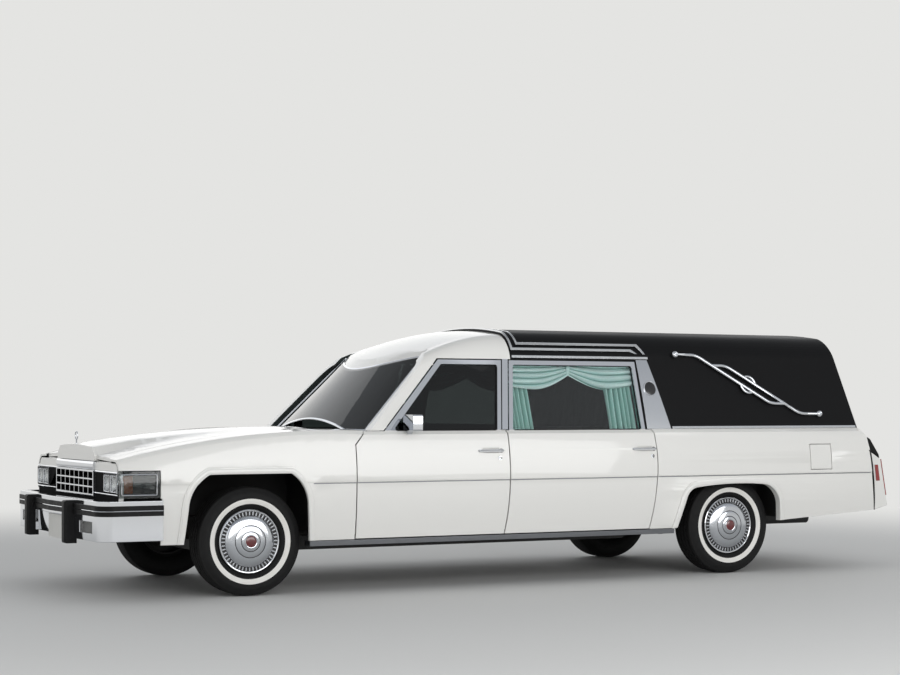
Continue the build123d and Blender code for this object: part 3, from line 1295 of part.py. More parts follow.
# Dashboard with the steering column, and the steering wheel
column_tilt = 28
wheel_centre = (front_axle_x - 1290, 390, 950)
steering_radius = 190
column_radius = 28
with BuildPart() as dashboard:
    with Locations((front_axle_x - 905, 0, 780)):
        Box(160, 1560, 190, align=(Align.MAX, Align.CENTER, Align.MIN))
    fillet(dashboard.edges().filter_by(Axis.Y), 30)
    with Locations(Location(wheel_centre, (0, 90 + column_tilt, 0))):
        with Locations((0, 0, 40)):
            Cylinder(column_radius, 330, align=(Align.CENTER, Align.CENTER, Align.MIN))
keep("dashboard", dashboard.part)
with BuildPart() as steering_wheel:
    with Locations(Location(wheel_centre, (0, 90 + column_tilt, 0))):
        Torus(steering_radius, 13)
        Cylinder(46, 44)
        Box(36, 2 * steering_radius, 16)
        with Locations((steering_radius / 2, 0, 0)):
            Box(steering_radius, 36, 16)
        with Locations((0, 0, 20)):
            Cylinder(14, 15, align=(Align.CENTER, Align.CENTER, Align.MIN))
keep("steering_wheel", steering_wheel.part)

# Front bench seat
seat_half = 690
with BuildPart() as front_seat:
    with BuildSketch(Plane.XZ):
        with BuildLine():
            x = front_axle_x
            Polyline((x - 1420, floor_z + floor_thickness), (x - 1400, 640), (x - 1850, 600), (x - 1960, 1080),
                     (x - 2080, 1080), (x - 1990, 560), (x - 1960, floor_z + floor_thickness), close=True)
        make_face()
    extrude(amount=seat_half, both=True)
    fillet(front_seat.edges().filter_by(Axis.Y).sort_by(Axis.Z)[2:], 40)
keep("front_seat", front_seat.part)

# Casket deck on skirts, with a row of sockets for bier pins
deck_half = 560
deck_top_z = 660
deck_thickness = 20
deck_front_x = front_axle_x - 2180
deck_rear_x = rear_axle_x - 1090
skirt = 20
socket_radius = 8
socket_y = 300
socket_behind = [-700, -100, 500, 1000]
with BuildPart() as casket_deck:
    with Locations((deck_front_x, 0, deck_top_z)):
        Box(deck_front_x - deck_rear_x, 2 * deck_half, deck_thickness, align=(Align.MAX, Align.CENTER, Align.MAX))
    skirt_low_z = floor_z + floor_thickness
    for side in (-1, 1):
        with Locations((deck_front_x, side * (deck_half - skirt / 2), skirt_low_z)):
            Box(deck_front_x - load_front_x - floor_thickness, skirt, deck_top_z - skirt_low_z,
                align=(Align.MAX, Align.CENTER, Align.MIN))
        with Locations((load_front_x, side * (deck_half - skirt / 2), load_floor_z + floor_thickness)):
            Box(load_front_x - deck_rear_x, skirt, deck_top_z - load_floor_z - floor_thickness,
                align=(Align.MAX, Align.CENTER, Align.MIN))
    with Locations((deck_front_x, 0, skirt_low_z)):
        Box(skirt, 2 * deck_half, deck_top_z - skirt_low_z, align=(Align.MAX, Align.CENTER, Align.MIN))
    with Locations(*[(rear_axle_x - behind, side * socket_y, deck_top_z) for behind in socket_behind
                     for side in (-1, 1)]):
        Cylinder(socket_radius, 2 * deck_thickness, mode=Mode.SUBTRACT)
keep("casket_deck", casket_deck.part)

# Drapes inside the rear door windows: two gathered sides and a swag, as one sheet a side
drape_depth = 10
drape_top_z = 1496
with BuildPart() as drape:
    with BuildSketch(Plane.YZ.offset(rear_gap_x)):
        with BuildLine():
            window_band(frame_depth, frame_depth + drape_depth)
        make_face()
    extrude(amount=b_gap_x - rear_gap_x)
    with BuildSketch(Plane.XZ):
        with BuildLine():
            x = front_axle_x
            Polyline((x - 2087, glass_base_z), (x - 1880, glass_base_z), (x - 1950, drape_top_z),
                     (x - 2918, drape_top_z), (x - 2905, glass_base_z), (x - 2647, glass_base_z), (x - 2647, 1310))
            ThreePointArc((x - 2647, 1310), (x - 2540, 1395), (x - 2422, 1415))
            ThreePointArc((x - 2422, 1415), (x - 2250, 1350), (x - 2087, 1316))
            Line((x - 2087, 1316), (x - 2087, glass_base_z))
        make_face()
    extrude(amount=-reach, mode=Mode.INTERSECT)
keep_pair("drape", drape.part)

# Write every piece
for name, piece in pieces.items():
    export_step(piece, f"parts/{name}.step")
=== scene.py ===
"""Studio scene of a landau hearse: finishes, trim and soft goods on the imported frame. Metres, +X forward."""

import json
from math import asin, atan, atan2, ceil, cos, hypot, pi, radians, sin, sqrt

import bmesh
import bpy
from mathutils import Matrix, Vector
from mathutils.bvhtree import BVHTree


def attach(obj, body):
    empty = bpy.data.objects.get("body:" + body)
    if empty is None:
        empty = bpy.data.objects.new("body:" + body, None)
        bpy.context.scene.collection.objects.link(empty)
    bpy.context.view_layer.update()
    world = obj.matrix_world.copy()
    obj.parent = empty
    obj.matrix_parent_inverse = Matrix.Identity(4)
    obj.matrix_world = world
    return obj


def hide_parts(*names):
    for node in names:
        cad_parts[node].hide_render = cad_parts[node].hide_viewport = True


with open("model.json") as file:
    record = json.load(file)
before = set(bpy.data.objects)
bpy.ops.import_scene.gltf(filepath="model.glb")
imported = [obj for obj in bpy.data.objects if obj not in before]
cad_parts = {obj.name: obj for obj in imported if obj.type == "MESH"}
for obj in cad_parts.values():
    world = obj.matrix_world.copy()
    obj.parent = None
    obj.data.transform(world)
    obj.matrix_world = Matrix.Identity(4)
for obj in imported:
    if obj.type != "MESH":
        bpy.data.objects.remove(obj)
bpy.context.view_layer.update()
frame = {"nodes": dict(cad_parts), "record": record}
nodes = frame["nodes"]
members = frame["record"]["behaviour"]["bodies"]
body_of = {node: body for body, names in members.items() for node in names}
slot_of = {part["node"]: part["material_slot"] for part in frame["record"]["subparts"]}
mm = 0.001
sides = (("left", 1), ("right", -1))

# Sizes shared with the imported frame, in metres
front_axle_x = 2.020
rear_axle_x = -1.650
wheel_y = 0.795
axle_z = 0.345
tyre_radius = 0.345
sill_z = 0.306
sill_tuck = 0.033
crease_z = 0.714
crease_y = 1.003
crease_step = 0.004
belt_z = 1.015
belt_y = 0.963
glass_base_z = 1.040
glass_base_y = 0.926
window_top_z = 1.530
window_top_y = 0.778
window_slope = (glass_base_y - window_top_y) / (window_top_z - glass_base_z)
door_pull_z = 0.902
lamp_zone_top_z = 0.795

forward = Vector((1, 0, 0))
upward = Vector((0, 0, 1))


# Materials

def linear(colour):
    """Linear RGBA of an sRGB hex colour."""
    parts = [int(colour[at:at + 2], 16) / 255 for at in (1, 3, 5)]
    return [part / 12.92 if part <= 0.04045 else ((part + 0.055) / 1.055) ** 2.4 for part in parts] + [1.0]


def add_node(tree, kind, settings=(), links=()):
    """Adds a shader or geometry node, sets its inputs or properties, and links its inputs to sockets."""
    node = tree.nodes.new(kind)
    for key, value in dict(settings).items():
        if isinstance(key, int) or key in node.inputs:
            node.inputs[key].default_value = value
        else:
            setattr(node, key, value)
    for key, socket in dict(links).items():
        tree.links.new(socket, node.inputs[key])
    return node


def surface(name, colour, **settings):
    """A named principled material of one colour, with its node tree and shader."""
    material = bpy.data.materials.new(name)
    material.use_nodes = True
    shader = material.node_tree.nodes["Principled BSDF"]
    shader.inputs["Base Color"].default_value = linear(colour)
    for key, value in settings.items():
        shader.inputs[key.replace("_", " ")].default_value = value
    return material, material.node_tree, shader


def mottle(tree, shader, socket, size_mm, low, high, detail=3.0):
    """Varies a shader's colour or roughness with soft noise of a real size in millimetres."""
    place = add_node(tree, "ShaderNodeTexCoord")
    noise = add_node(tree, "ShaderNodeTexNoise", {"Scale": 1000 / size_mm, "Detail": detail},
                     {"Vector": place.outputs["Object"]})
    ramp = add_node(tree, "ShaderNodeValToRGB", links={"Fac": noise.outputs["Fac"]})
    ramp.color_ramp.elements[0].position = 0.25
    ramp.color_ramp.elements[1].position = 0.75
    for element, value in zip(ramp.color_ramp.elements, (low, high)):
        element.color = linear(value) if isinstance(value, str) else (value, value, value, 1.0)
    tree.links.new(ramp.outputs["Color"], shader.inputs[socket])


def wave_scale(spacing_mm):
    """Scale of a wave texture whose bands are a real distance apart."""
    return 1000 / spacing_mm * pi / 10


def relief(tree, shader, kind, settings, strength, depth_mm, stretch=None, uv_map=None):
    """Presses a texture into a surface, on its Object coordinates, stretched or not, or on its own UV map."""
    if uv_map:
        place = add_node(tree, "ShaderNodeUVMap", {"uv_map": uv_map}).outputs["UV"]
    else:
        place = add_node(tree, "ShaderNodeTexCoord").outputs["Object"]
    if stretch:
        place = add_node(tree, "ShaderNodeMapping", {"Scale": stretch}, {"Vector": place}).outputs["Vector"]
    pattern = add_node(tree, kind, settings, {"Vector": place})
    height = pattern.outputs["Distance" if kind == "ShaderNodeTexVoronoi" else "Fac"]
    bump = add_node(tree, "ShaderNodeBump", {"Strength": strength, "Distance": depth_mm * mm},
                    {"Height": height})
    tree.links.new(bump.outputs["Normal"], shader.inputs["Normal"])


# Two-stage body enamel: a clear coat gives sharp reflections on a soft white, with faint orange peel
peel_mm = 14.0
white_enamel, *enamel = surface("white_enamel", "#e8e7e3", Roughness=0.3, Coat_Weight=0.8,
                                Coat_Roughness=0.03)
mottle(*enamel, "Roughness", 900, 0.29, 0.33, detail=0.0)
relief(*enamel, "ShaderNodeTexNoise", {"Scale": 1000 / peel_mm, "Detail": 1.0}, 0.03, 0.2)

# Padded vinyl with a pressed hide grain of about 3 mm, drawn coarser than life so that it shows
grain_mm = 5.0
black_vinyl, *vinyl = surface("grained_black_vinyl", "#08080a", Roughness=0.5, Specular_IOR_Level=0.16)
mottle(*vinyl, "Roughness", 300, 0.5, 0.54, detail=0.0)
relief(*vinyl, "ShaderNodeTexVoronoi", {"Scale": 1000 / grain_mm}, 0.3, 0.6)

# Bright chromium plate over polished steel: a clean mirror with a cold tint and faint polishing haze
chrome_plate, *plating = surface("chrome_plate", "#d8dade", Metallic=1.0, Roughness=0.07)
mottle(*plating, "Roughness", 60, 0.05, 0.075)

# Bright-dipped trim of the roof and belt: polished, but softer than plate
bright_trim, *dipped = surface("bright_dipped_trim", "#d9dadb", Metallic=1.0, Roughness=0.2)
mottle(*dipped, "Roughness", 35, 0.17, 0.24)

# Brushed stainless sheet: fine brushing along the car that spreads the highlight upwards
brush_mm = 1.5
brush_length_mm = 100
brush_stretch = (1000 / brush_length_mm, 1000 / brush_mm, 1000 / brush_mm)
brushed_stainless, *brushed = surface("brushed_stainless", "#d3d5d8", Metallic=1.0, Roughness=0.14)
relief(*brushed, "ShaderNodeTexNoise", {"Scale": 1.0}, 0.15, 0.1, stretch=brush_stretch)

# Spun wheel cover: stainless turned on a lathe, so its brushing runs round
lathe_mm = 1.6
lathe_lines = {"Scale": wave_scale(lathe_mm), "bands_direction": "Y"}
spun_stainless, *spun = surface("spun_stainless", "#c3c6cb", Metallic=1.0, Roughness=0.13)
relief(*spun, "ShaderNodeTexWave", lathe_lines, 0.06, 0.1, uv_map="turned")

# Anodised sill and side mouldings: satin grey aluminium
satin_aluminium, *satin = surface("satin_aluminium", "#86888c", Metallic=1.0, Roughness=0.36)
mottle(*satin, "Roughness", 40, 0.3, 0.42)

# Safety glass: a grey-green tint, deep in the cab and clearer in front of the drapes; faint wiping haze
haze_mm = 350.0
tinted_glass, *tint = surface("tinted_safety_glass", "#272d2c", IOR=1.45, Transmission_Weight=1.0)
mottle(*tint, "Roughness", haze_mm, 0.0, 0.012, detail=0.0)
clear_glass, *clear = surface("clear_safety_glass", "#f5f9f8", IOR=1.45, Transmission_Weight=1.0)
mottle(*clear, "Roughness", haze_mm, 0.0, 0.008, detail=0.0)

# Mirror glass: silvered on its back, a clean reflection with a trace of haze
mirror_glass, *silvered = surface("silvered_mirror_glass", "#d5dadd", Metallic=1.0, Roughness=0.02)
mottle(*silvered, "Roughness", 80, 0.015, 0.03)

# Corner lamp: a smoked lens moulded with upright flutes, over an amber block of small prisms
smoke_flute_mm = 14.0
smoked_lens, *smoke = surface("smoked_moulded_lens", "#a7adac", Roughness=0.05, IOR=1.49,
                              Transmission_Weight=1.0)
relief(*smoke, "ShaderNodeTexWave", {"Scale": wave_scale(smoke_flute_mm)}, 0.12, 0.6)
amber_prism_mm = 9.0
amber_lens, *amber = surface("amber_moulded_lens", "#d8742a", Roughness=0.15, Coat_Weight=0.5)
relief(*amber, "ShaderNodeTexVoronoi", {"Scale": 1000 / amber_prism_mm}, 0.3, 1.0)

# Pressed lamp glass: clear, with upright flutes about 8 mm apart
flute_mm = 8.0
fluted_lens, *flutes = surface("fluted_lamp_glass", "#f2f5f6", Roughness=0.02, IOR=1.5,
                               Transmission_Weight=1.0)
relief(*flutes, "ShaderNodeTexWave", {"Scale": wave_scale(flute_mm), "bands_direction": "Y"}, 0.25, 1.5)

# Aluminised lamp dishes: a bright metal that spreads the light it catches
lamp_silver, *dishes = surface("aluminised_dish", "#f8f9fa", Metallic=1.0, Roughness=0.16)
mottle(*dishes, "Roughness", 20, 0.12, 0.2)

# Red lens: moulded with small prisms that glint through a smooth outer face
prism_mm = 6.0
red_lens, *prisms = surface("red_moulded_lens", "#8a0a0d", Roughness=0.16, Coat_Weight=1.0)
relief(*prisms, "ShaderNodeTexVoronoi", {"Scale": 1000 / prism_mm}, 0.35, 1.0)

# Tyre compound: dusty black, the tread cut by sipes, and the white band moulded into its sidewall
sipe_mm = 9.0
sipe_cuts = {"Scale": wave_scale(sipe_mm), "Distortion": 1.5}
tyre_rubber, *compound = surface("tyre_rubber", "#101011", Roughness=0.72, Specular_IOR_Level=0.3)
mottle(*compound, "Base Color", 45, "#0c0c0d", "#151515")
tread_rubber, *sipes = surface("siped_tread_rubber", "#111111", Roughness=0.8, Specular_IOR_Level=0.3)
relief(*sipes, "ShaderNodeTexWave", sipe_cuts, 0.6, 3.0, uv_map="turned")
white_rubber, *whitewall = surface("whitewall_rubber", "#e9e7e2", Roughness=0.6)
mottle(*whitewall, "Base Color", 70, "#e4e2dc", "#eeece8")

# Moulded rubber of the bumper strip, window seals and fin fillers: a deep black with little shine
black_rubber, *moulded = surface("moulded_black_rubber", "#0c0c0d", Roughness=0.5, Specular_IOR_Level=0.2)
mottle(*moulded, "Roughness", 30, 0.42, 0.6)

# Chassis: satin black paint with road dust, and bare cast iron
dark_paint, *satin_black = surface("satin_black_paint", "#131314", Roughness=0.5)
mottle(*satin_black, "Base Color", 120, "#101011", "#1c1b1a")
cast_iron, *casting = surface("cast_iron", "#3a3836", Metallic=0.6, Roughness=0.62)
mottle(*casting, "Base Color", 25, "#302e2c", "#45423f")

# Enamels: glassy dark red on the wheel caps, glassy black on small seats, where it is painted shade under the
# door pulls, and a plain plate white
red_enamel, *caps = surface("dark_red_enamel", "#5f1216", Roughness=0.18, Coat_Weight=1.0)
mottle(*caps, "Base Color", 8, "#560f13", "#69151a")
black_enamel, *jet = surface("black_enamel", "#0d0d0e", Roughness=0.2, Coat_Weight=0.6)
mottle(*jet, "Roughness", 12, 0.16, 0.26)
plate_enamel, *plates = surface("plain_plate_enamel", "#dfded9", Roughness=0.4)
mottle(*plates, "Roughness", 50, 0.34, 0.46)

# Dull black of the grille's and lamps' recesses: black paint that swallows nearly all light, so that it also
# stands as painted shade in the grille's cells and painted dark reflection on the lamp bezels
dull_black, *recess = surface("dull_black_painted_shade", "#0a0a0b", Roughness=0.8, Specular_IOR_Level=0.08)
mottle(*recess, "Base Color", 15, "#080809", "#0d0d0e")

# Interior: moulded trim with a fine grain, a pleated headliner and ribbed seat cloth
trim_grain_mm = 3.0
moulded_trim, *trim = surface("moulded_trim", "#181d1c", Roughness=0.6)
relief(*trim, "ShaderNodeTexVoronoi", {"Scale": 1000 / trim_grain_mm}, 0.3, 0.3)
pleat_mm = 60.0
headliner, *liner = surface("pleated_headliner", "#26302e", Roughness=0.9, Sheen_Weight=0.2)
relief(*liner, "ShaderNodeTexWave", {"Scale": wave_scale(pleat_mm)}, 0.6, 6.0)
weave_mm = 2.5
seat_cloth, *ribs = surface("ribbed_seat_cloth", "#2f4441", Roughness=0.85, Sheen_Weight=0.3)
relief(*ribs, "ShaderNodeTexWave", {"Scale": wave_scale(weave_mm), "bands_direction": "Y"}, 0.3, 0.5)

# Varnished deck boards: brown hardwood under a gloss, its grain drawn out along the car
board_grain_mm = 25.0
grain_along = 1.2
grain_down = 10.0
board_stretch = (grain_along, 1000 / board_grain_mm, grain_down)
deck_wood, wood_tree, wood_shader = surface("varnished_deck", "#3a2113", Roughness=0.3, Coat_Weight=0.4)
wood_place = add_node(wood_tree, "ShaderNodeTexCoord")
wood_drawn = add_node(wood_tree, "ShaderNodeMapping", {"Scale": board_stretch},
                      {"Vector": wood_place.outputs["Object"]})
wood_grain = add_node(wood_tree, "ShaderNodeTexNoise", {"Scale": 1.0, "Detail": 6.0, "Distortion": 0.6},
                      {"Vector": wood_drawn.outputs["Vector"]})
wood_colours = add_node(wood_tree, "ShaderNodeValToRGB", links={"Fac": wood_grain.outputs["Fac"]})
for wood_stop, wood_colour in zip(wood_colours.color_ramp.elements, ("#2a160b", "#56331d")):
    wood_stop.color = linear(wood_colour)
wood_tree.links.new(wood_colours.outputs["Color"], wood_shader.inputs["Base Color"])

# Velour of the drapes: a short nap that shows as a slight unevenness
nap_mm = 7.0


def velour(name, crest, flank, crease):
    """Napped velour with painted light: a painted highlight on the crests of its folds and painted shade deep
    in their creases.
    """
    material, tree, shader = surface(name, flank, Roughness=0.6, Sheen_Weight=0.2)
    mottle(tree, shader, "Roughness", nap_mm, 0.55, 0.7)
    # The fold depth picks the colour: painted highlight on the crests, the cloth's own colour on the flanks,
    # painted shade in the creases
    fold = add_node(tree, "ShaderNodeUVMap", {"uv_map": "fold"})
    depth = add_node(tree, "ShaderNodeSeparateXYZ", links={"Vector": fold.outputs["UV"]})
    shades = add_node(tree, "ShaderNodeValToRGB", links={"Fac": depth.outputs["X"]})
    shades.color_ramp.elements.new(0.55)
    for stop, colour in zip(shades.color_ramp.elements, (crest, flank, crease)):
        stop.color = linear(colour)
    tree.links.new(shades.outputs["Color"], shader.inputs["Base Color"])
    return material


# Each velour's colours: painted highlight on the crests, own colour on the flanks, painted shade in the
# creases
drape_velour = velour("mint_velour", "#e6fbf9", "#bfe4e0", "#3f7d75")
# The pleats' velour is a darker copy of the valance's: painted shade for the side panels under the valance
shaded_pleat_velour = velour("mint_velour_pleats_painted_shade", "#b7e2da", "#86bdb3", "#2f655d")
knot_velour, *knot_nap = surface("mint_velour_knot", "#d3f1ee", Roughness=0.6, Sheen_Weight=0.2)
mottle(*knot_nap, "Base Color", nap_mm, "#b9e0dc", "#e2f8f6")


# Mesh tools

def add_piece(name, mesh, body, slot, *materials):
    """Puts a finished mesh into the scene as one piece on a body."""
    piece = bpy.data.objects.new(name, mesh)
    bpy.context.scene.collection.objects.link(piece)
    for material in materials:
        mesh.materials.append(material)
    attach(piece, body)
    return piece


def finished(shape, name, body, slot, *materials, recalc=True):
    """Turns a bmesh into a piece: doubles merged, faces outward, shaded smooth."""
    bmesh.ops.remove_doubles(shape, verts=shape.verts, dist=0.01 * mm)
    if recalc:
        bmesh.ops.recalc_face_normals(shape, faces=shape.faces)
    mesh = bpy.data.meshes.new(name)
    shape.to_mesh(mesh)
    shape.free()
    return soften(add_piece(name, mesh, body, slot, *materials), 0)


def soften(piece, edge, angle=28):
    """Rounds a piece's sharp edges and shades it smooth."""
    piece.data.shade_smooth()
    piece.data.set_sharp_from_angle(angle=radians(angle))
    if edge:
        bevel = piece.modifiers.new("edge", "BEVEL")
        bevel.width = edge
        bevel.segments = 2
        bevel.limit_method = "ANGLE"
        bevel.angle_limit = radians(angle)
        bevel.harden_normals = True
    return piece


def merged(node):
    """A CAD node's mesh with its loose triangles joined and its flat faces made whole."""
    shape = bmesh.new()
    shape.from_mesh(nodes[node].data)
    bmesh.ops.remove_doubles(shape, verts=shape.verts, dist=0.02 * mm)
    bmesh.ops.dissolve_limit(shape, angle_limit=radians(0.3), verts=shape.verts, edges=shape.edges)
    return shape


def sliced(shape, height):
    """Splits a bmesh's faces along a level plane."""
    everything = shape.verts[:] + shape.edges[:] + shape.faces[:]
    bmesh.ops.bisect_plane(shape, geom=everything, plane_co=(0, 0, height), plane_no=(0, 0, 1))


def dress(node, material, edge, *repaints, reshape=None):
    """A merged copy of a CAD node stands for it, its edges softened and chosen faces in other finishes."""
    shape = merged(node)
    if reshape:
        reshape(shape)
    for face in shape.faces:
        face.material_index = 0
        centre = face.calc_center_median()
        for index, (_, chooses) in enumerate(repaints, 1):
            if chooses(centre, face.normal, face.calc_area()):
                face.material_index = index
    mesh = bpy.data.meshes.new(node + "_finish")
    shape.to_mesh(mesh)
    shape.free()
    paints = [paint for paint, _ in repaints]
    piece = add_piece(node + "_finish", mesh, body_of[node], slot_of[node], material, *paints)
    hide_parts(node)
    return soften(piece, edge)


def block(place, size):
    """A plain box of a size, centred on a place."""
    shape = bmesh.new()
    bmesh.ops.create_cube(shape, size=1.0, matrix=Matrix.LocRotScale(place, None, size))
    return shape


def strip_along(name, points, profile, closed, body, slot, material, up):
    """Sweeps a small closed profile of (out, up) points along a path; out is square to the path and to up."""
    shape = bmesh.new()
    rings = []
    count = len(points)
    for at, point in enumerate(points):
        before = points[at - 1] if closed or at else point
        after = points[(at + 1) % count] if closed or at < count - 1 else point
        along = (after - before).normalized()
        out = along.cross(up).normalized()
        rise = out.cross(along).normalized()
        rings.append([shape.verts.new(point + out * across + rise * height) for across, height in profile])
    steps = count if closed else count - 1
    size = len(profile)
    for at in range(steps):
        near, far = rings[at], rings[(at + 1) % count]
        for edge in range(size):
            shape.faces.new((near[edge], near[(edge + 1) % size], far[(edge + 1) % size], far[edge]))
    if not closed:
        shape.faces.new(rings[0])
        shape.faces.new(rings[-1])
    return finished(shape, name, body, slot, material)


def round_profile(radius, sides_count=8, flat=1.0):
    """A round or flattened closed profile for a swept strip."""
    turns = [2 * pi * at / sides_count for at in range(sides_count)]
    return [(radius * cos(turn), radius * flat * sin(turn)) for turn in turns]


def chain(edges):
    """Ordered points of the loops and runs that a set of edges makes, longest first."""
    links = {}
    for edge in edges:
        for near, far in (edge.verts, reversed(edge.verts)):
            links.setdefault(near, []).append(far)
    loops = []
    while links:
        start = next((vert for vert, ends in links.items() if len(ends) == 1), next(iter(links)))
        run = [start]
        while links.get(run[-1]):
            here = run[-1]
            after = links[here].pop()
            links[after].remove(here)
            run.append(after)
        loops.append([vert.co.copy() for vert in run])
        links = {vert: ends for vert, ends in links.items() if ends}
    return sorted(loops, key=len, reverse=True)


def face_outline(node, chooses):
    """Outline of a node's chosen faces, as an ordered loop of points without the repeated last one."""
    shape = merged(node)
    chosen = {face for face in shape.faces if chooses(face.calc_center_median(), face.normal)}
    edges = [edge for edge in shape.edges if sum(face in chosen for face in edge.link_faces) == 1]
    loops = chain(edges)
    shape.free()
    loop = loops[0]
    return loop[:-1] if (loop[0] - loop[-1]).length < 0.1 * mm else loop


def even_points(points, step, closed):
    """Points at even steps along a path."""
    path = points + points[:1] if closed else points
    lengths = [0.0]
    for near, far in zip(path, path[1:]):
        lengths.append(lengths[-1] + (far - near).length)
    count = max(2, ceil(lengths[-1] / step))
    found = []
    leg = 0
    for at in range(count if closed else count + 1):
        target = lengths[-1] * at / count
        while leg < len(path) - 2 and lengths[leg + 1] < target:
            leg += 1
        span = lengths[leg + 1] - lengths[leg]
        found.append(path[leg].lerp(path[leg + 1], (target - lengths[leg]) / span if span else 0.0))
    return found


def outward(side):
    """The direction away from the car on one side."""
    return Vector((0, side, 0))


def side_y(z):
    """Half width of the body side at a height, on its two arcs and the window side."""
    if z > glass_base_z:
        return glass_base_y - (z - glass_base_z) * window_slope
    rise = z - crease_z
    run, tall = (crease_y - belt_y, belt_z - crease_z) if rise > 0 else (sill_tuck, crease_z - sill_z)
    radius = (run ** 2 + tall ** 2) / (2 * run)
    fall = radius - sqrt(max(radius ** 2 - rise ** 2, 0.0))
    return crease_y - fall - (0 if rise > 0 else crease_step)


def side_spot(x, z, side, proud=0.0):
    """Matrix of a spot on the body side: local Z points out, local Y up along the side."""
    probe = 10 * mm
    lean = atan((side_y(z - probe) - side_y(z + probe)) / (2 * probe))
    out = Vector((0, side * cos(lean), sin(lean)))
    up = Vector((0, -side * sin(lean), cos(lean)))
    along = Vector((-side, 0, 0))
    place = Vector((x, side * side_y(z), z)) + out * proud
    return Matrix((*zip(along, up, out, place), (0, 0, 0, 1)))


def turned(profile, segments, squash=1.0, waves=0):
    """Turned shape about local Z. Columns: radius, height, finish of the step after it, sway of a zigzag."""
    shape = bmesh.new()
    layer = shape.loops.layers.uv.new("turned")
    rings = []
    run = 0.0
    runs = []
    for at, (radius, height, *_) in enumerate(profile):
        if at:
            run += hypot(radius - profile[at - 1][0], height - profile[at - 1][1])
        runs.append(run)
        sway = profile[at][3] if len(profile[at]) > 3 else 0.0
        ring = []
        for turn in range(segments):
            angle = 2 * pi * turn / segments
            zigzag = 2 / pi * asin(sin(waves * angle))
            spot = (radius * cos(angle), squash * radius * sin(angle), height + sway * zigzag)
            ring.append(shape.verts.new(spot))
        rings.append(ring)
    for at in range(len(profile) - 1):
        near, far = rings[at], rings[at + 1]
        arc = 2 * pi * profile[at][0] / segments
        for turn in range(segments):
            after = (turn + 1) % segments
            face = shape.faces.new((near[turn], near[after], far[after], far[turn]))
            face.material_index = int(profile[at][2]) if len(profile[at]) > 2 else 0
            corners = ((turn, at), (turn + 1, at), (turn + 1, at + 1), (turn, at + 1))
            for loop, (spot, step) in zip(face.loops, corners):
                loop[layer].uv = (arc * spot, runs[step])
    return shape


def skin(node):
    """Search tree of a CAD node's faces, for casting trim onto it."""
    shape = merged(node)
    tree = BVHTree.FromBMesh(shape)
    shape.free()
    return tree


def cast_path(tree, starts, direction, lift=0.0):
    """Where rays from a list of points first meet a skin, lifted off it along its normal."""
    found = []
    for start in starts:
        spot, normal, _, _ = tree.ray_cast(start, direction)
        if spot:
            found.append(spot + (normal if normal.dot(direction) < 0 else -normal) * lift)
    return found


def bow(first, middle, last, steps):
    """Points along the arc through three points of a plane, without the last one."""
    (ax, ay), (bx, by), (cx, cy) = first, middle, last
    square_a, square_b, square_c = (x * x + y * y for x, y in (first, middle, last))
    twice = 2 * (ax * (by - cy) + bx * (cy - ay) + cx * (ay - by))
    ox = (square_a * (by - cy) + square_b * (cy - ay) + square_c * (ay - by)) / twice
    oy = (square_a * (cx - bx) + square_b * (ax - cx) + square_c * (bx - ax)) / twice
    radius = hypot(ax - ox, ay - oy)
    turn_a, turn_b, turn_c = (atan2(y - oy, x - ox) for x, y in (first, middle, last))
    sweep = (turn_c - turn_a) % (2 * pi)
    if (turn_b - turn_a) % (2 * pi) > sweep:
        sweep -= 2 * pi
    return [(ox + radius * cos(turn_a + sweep * at / steps), oy + radius * sin(turn_a + sweep * at / steps))
            for at in range(steps)]


def placed(shape, place):
    """Moves a bmesh to its place."""
    bmesh.ops.transform(shape, matrix=place, verts=shape.verts)
    return shape


# Geometry tree: a ring of small blocks

def ring_tree(name, material):
    """Blocks on a circle, each turned to face outwards. Inputs: Count, Radius, Block."""
    tree = bpy.data.node_groups.new(name, "GeometryNodeTree")
    tree.interface.new_socket("Geometry", in_out="OUTPUT", socket_type="NodeSocketGeometry")
    inputs = (("Count", "NodeSocketInt"), ("Radius", "NodeSocketFloat"), ("Block", "NodeSocketVector"))
    for label, kind in inputs:
        tree.interface.new_socket(label, in_out="INPUT", socket_type=kind)
    entry = add_node(tree, "NodeGroupInput")
    cube = add_node(tree, "GeometryNodeMeshCube", links={"Size": entry.outputs["Block"]})
    circle = add_node(tree, "GeometryNodeMeshCircle",
                      links={"Vertices": entry.outputs["Count"], "Radius": entry.outputs["Radius"]})
    index = add_node(tree, "GeometryNodeInputIndex")
    share = add_node(tree, "ShaderNodeMath", {"operation": "DIVIDE"},
                     {0: index.outputs["Index"], 1: entry.outputs["Count"]})
    turn = add_node(tree, "ShaderNodeMath", {"operation": "MULTIPLY", 1: 2 * pi}, {0: share.outputs["Value"]})
    facing = add_node(tree, "ShaderNodeCombineXYZ", links={"Z": turn.outputs["Value"]})
    copies = add_node(tree, "GeometryNodeInstanceOnPoints",
                      links={"Points": circle.outputs["Mesh"], "Instance": cube.outputs["Mesh"],
                             "Rotation": facing.outputs["Vector"]})
    real = add_node(tree, "GeometryNodeRealizeInstances", links={"Geometry": copies.outputs["Instances"]})
    paint = add_node(tree, "GeometryNodeSetMaterial", {"Material": material},
                     {"Geometry": real.outputs["Geometry"]})
    add_node(tree, "NodeGroupOutput", links={"Geometry": paint.outputs["Geometry"]})
    return tree


def grown(tree, name, place, **settings):
    """Runs a geometry tree with its inputs set and gives its plain mesh, moved to a place."""
    holder = bpy.data.objects.new(name, bpy.data.meshes.new(name + "_seed"))
    bpy.context.scene.collection.objects.link(holder)
    modifier = holder.modifiers.new("grow", "NODES")
    modifier.node_group = tree
    for item in tree.interface.items_tree:
        if item.in_out == "INPUT" and item.name in settings:
            modifier[item.identifier] = settings[item.name]
    graph = bpy.context.evaluated_depsgraph_get()
    mesh = bpy.data.meshes.new_from_object(holder.evaluated_get(graph))
    bpy.data.objects.remove(holder)
    mesh.name = name
    mesh.transform(place)
    return mesh


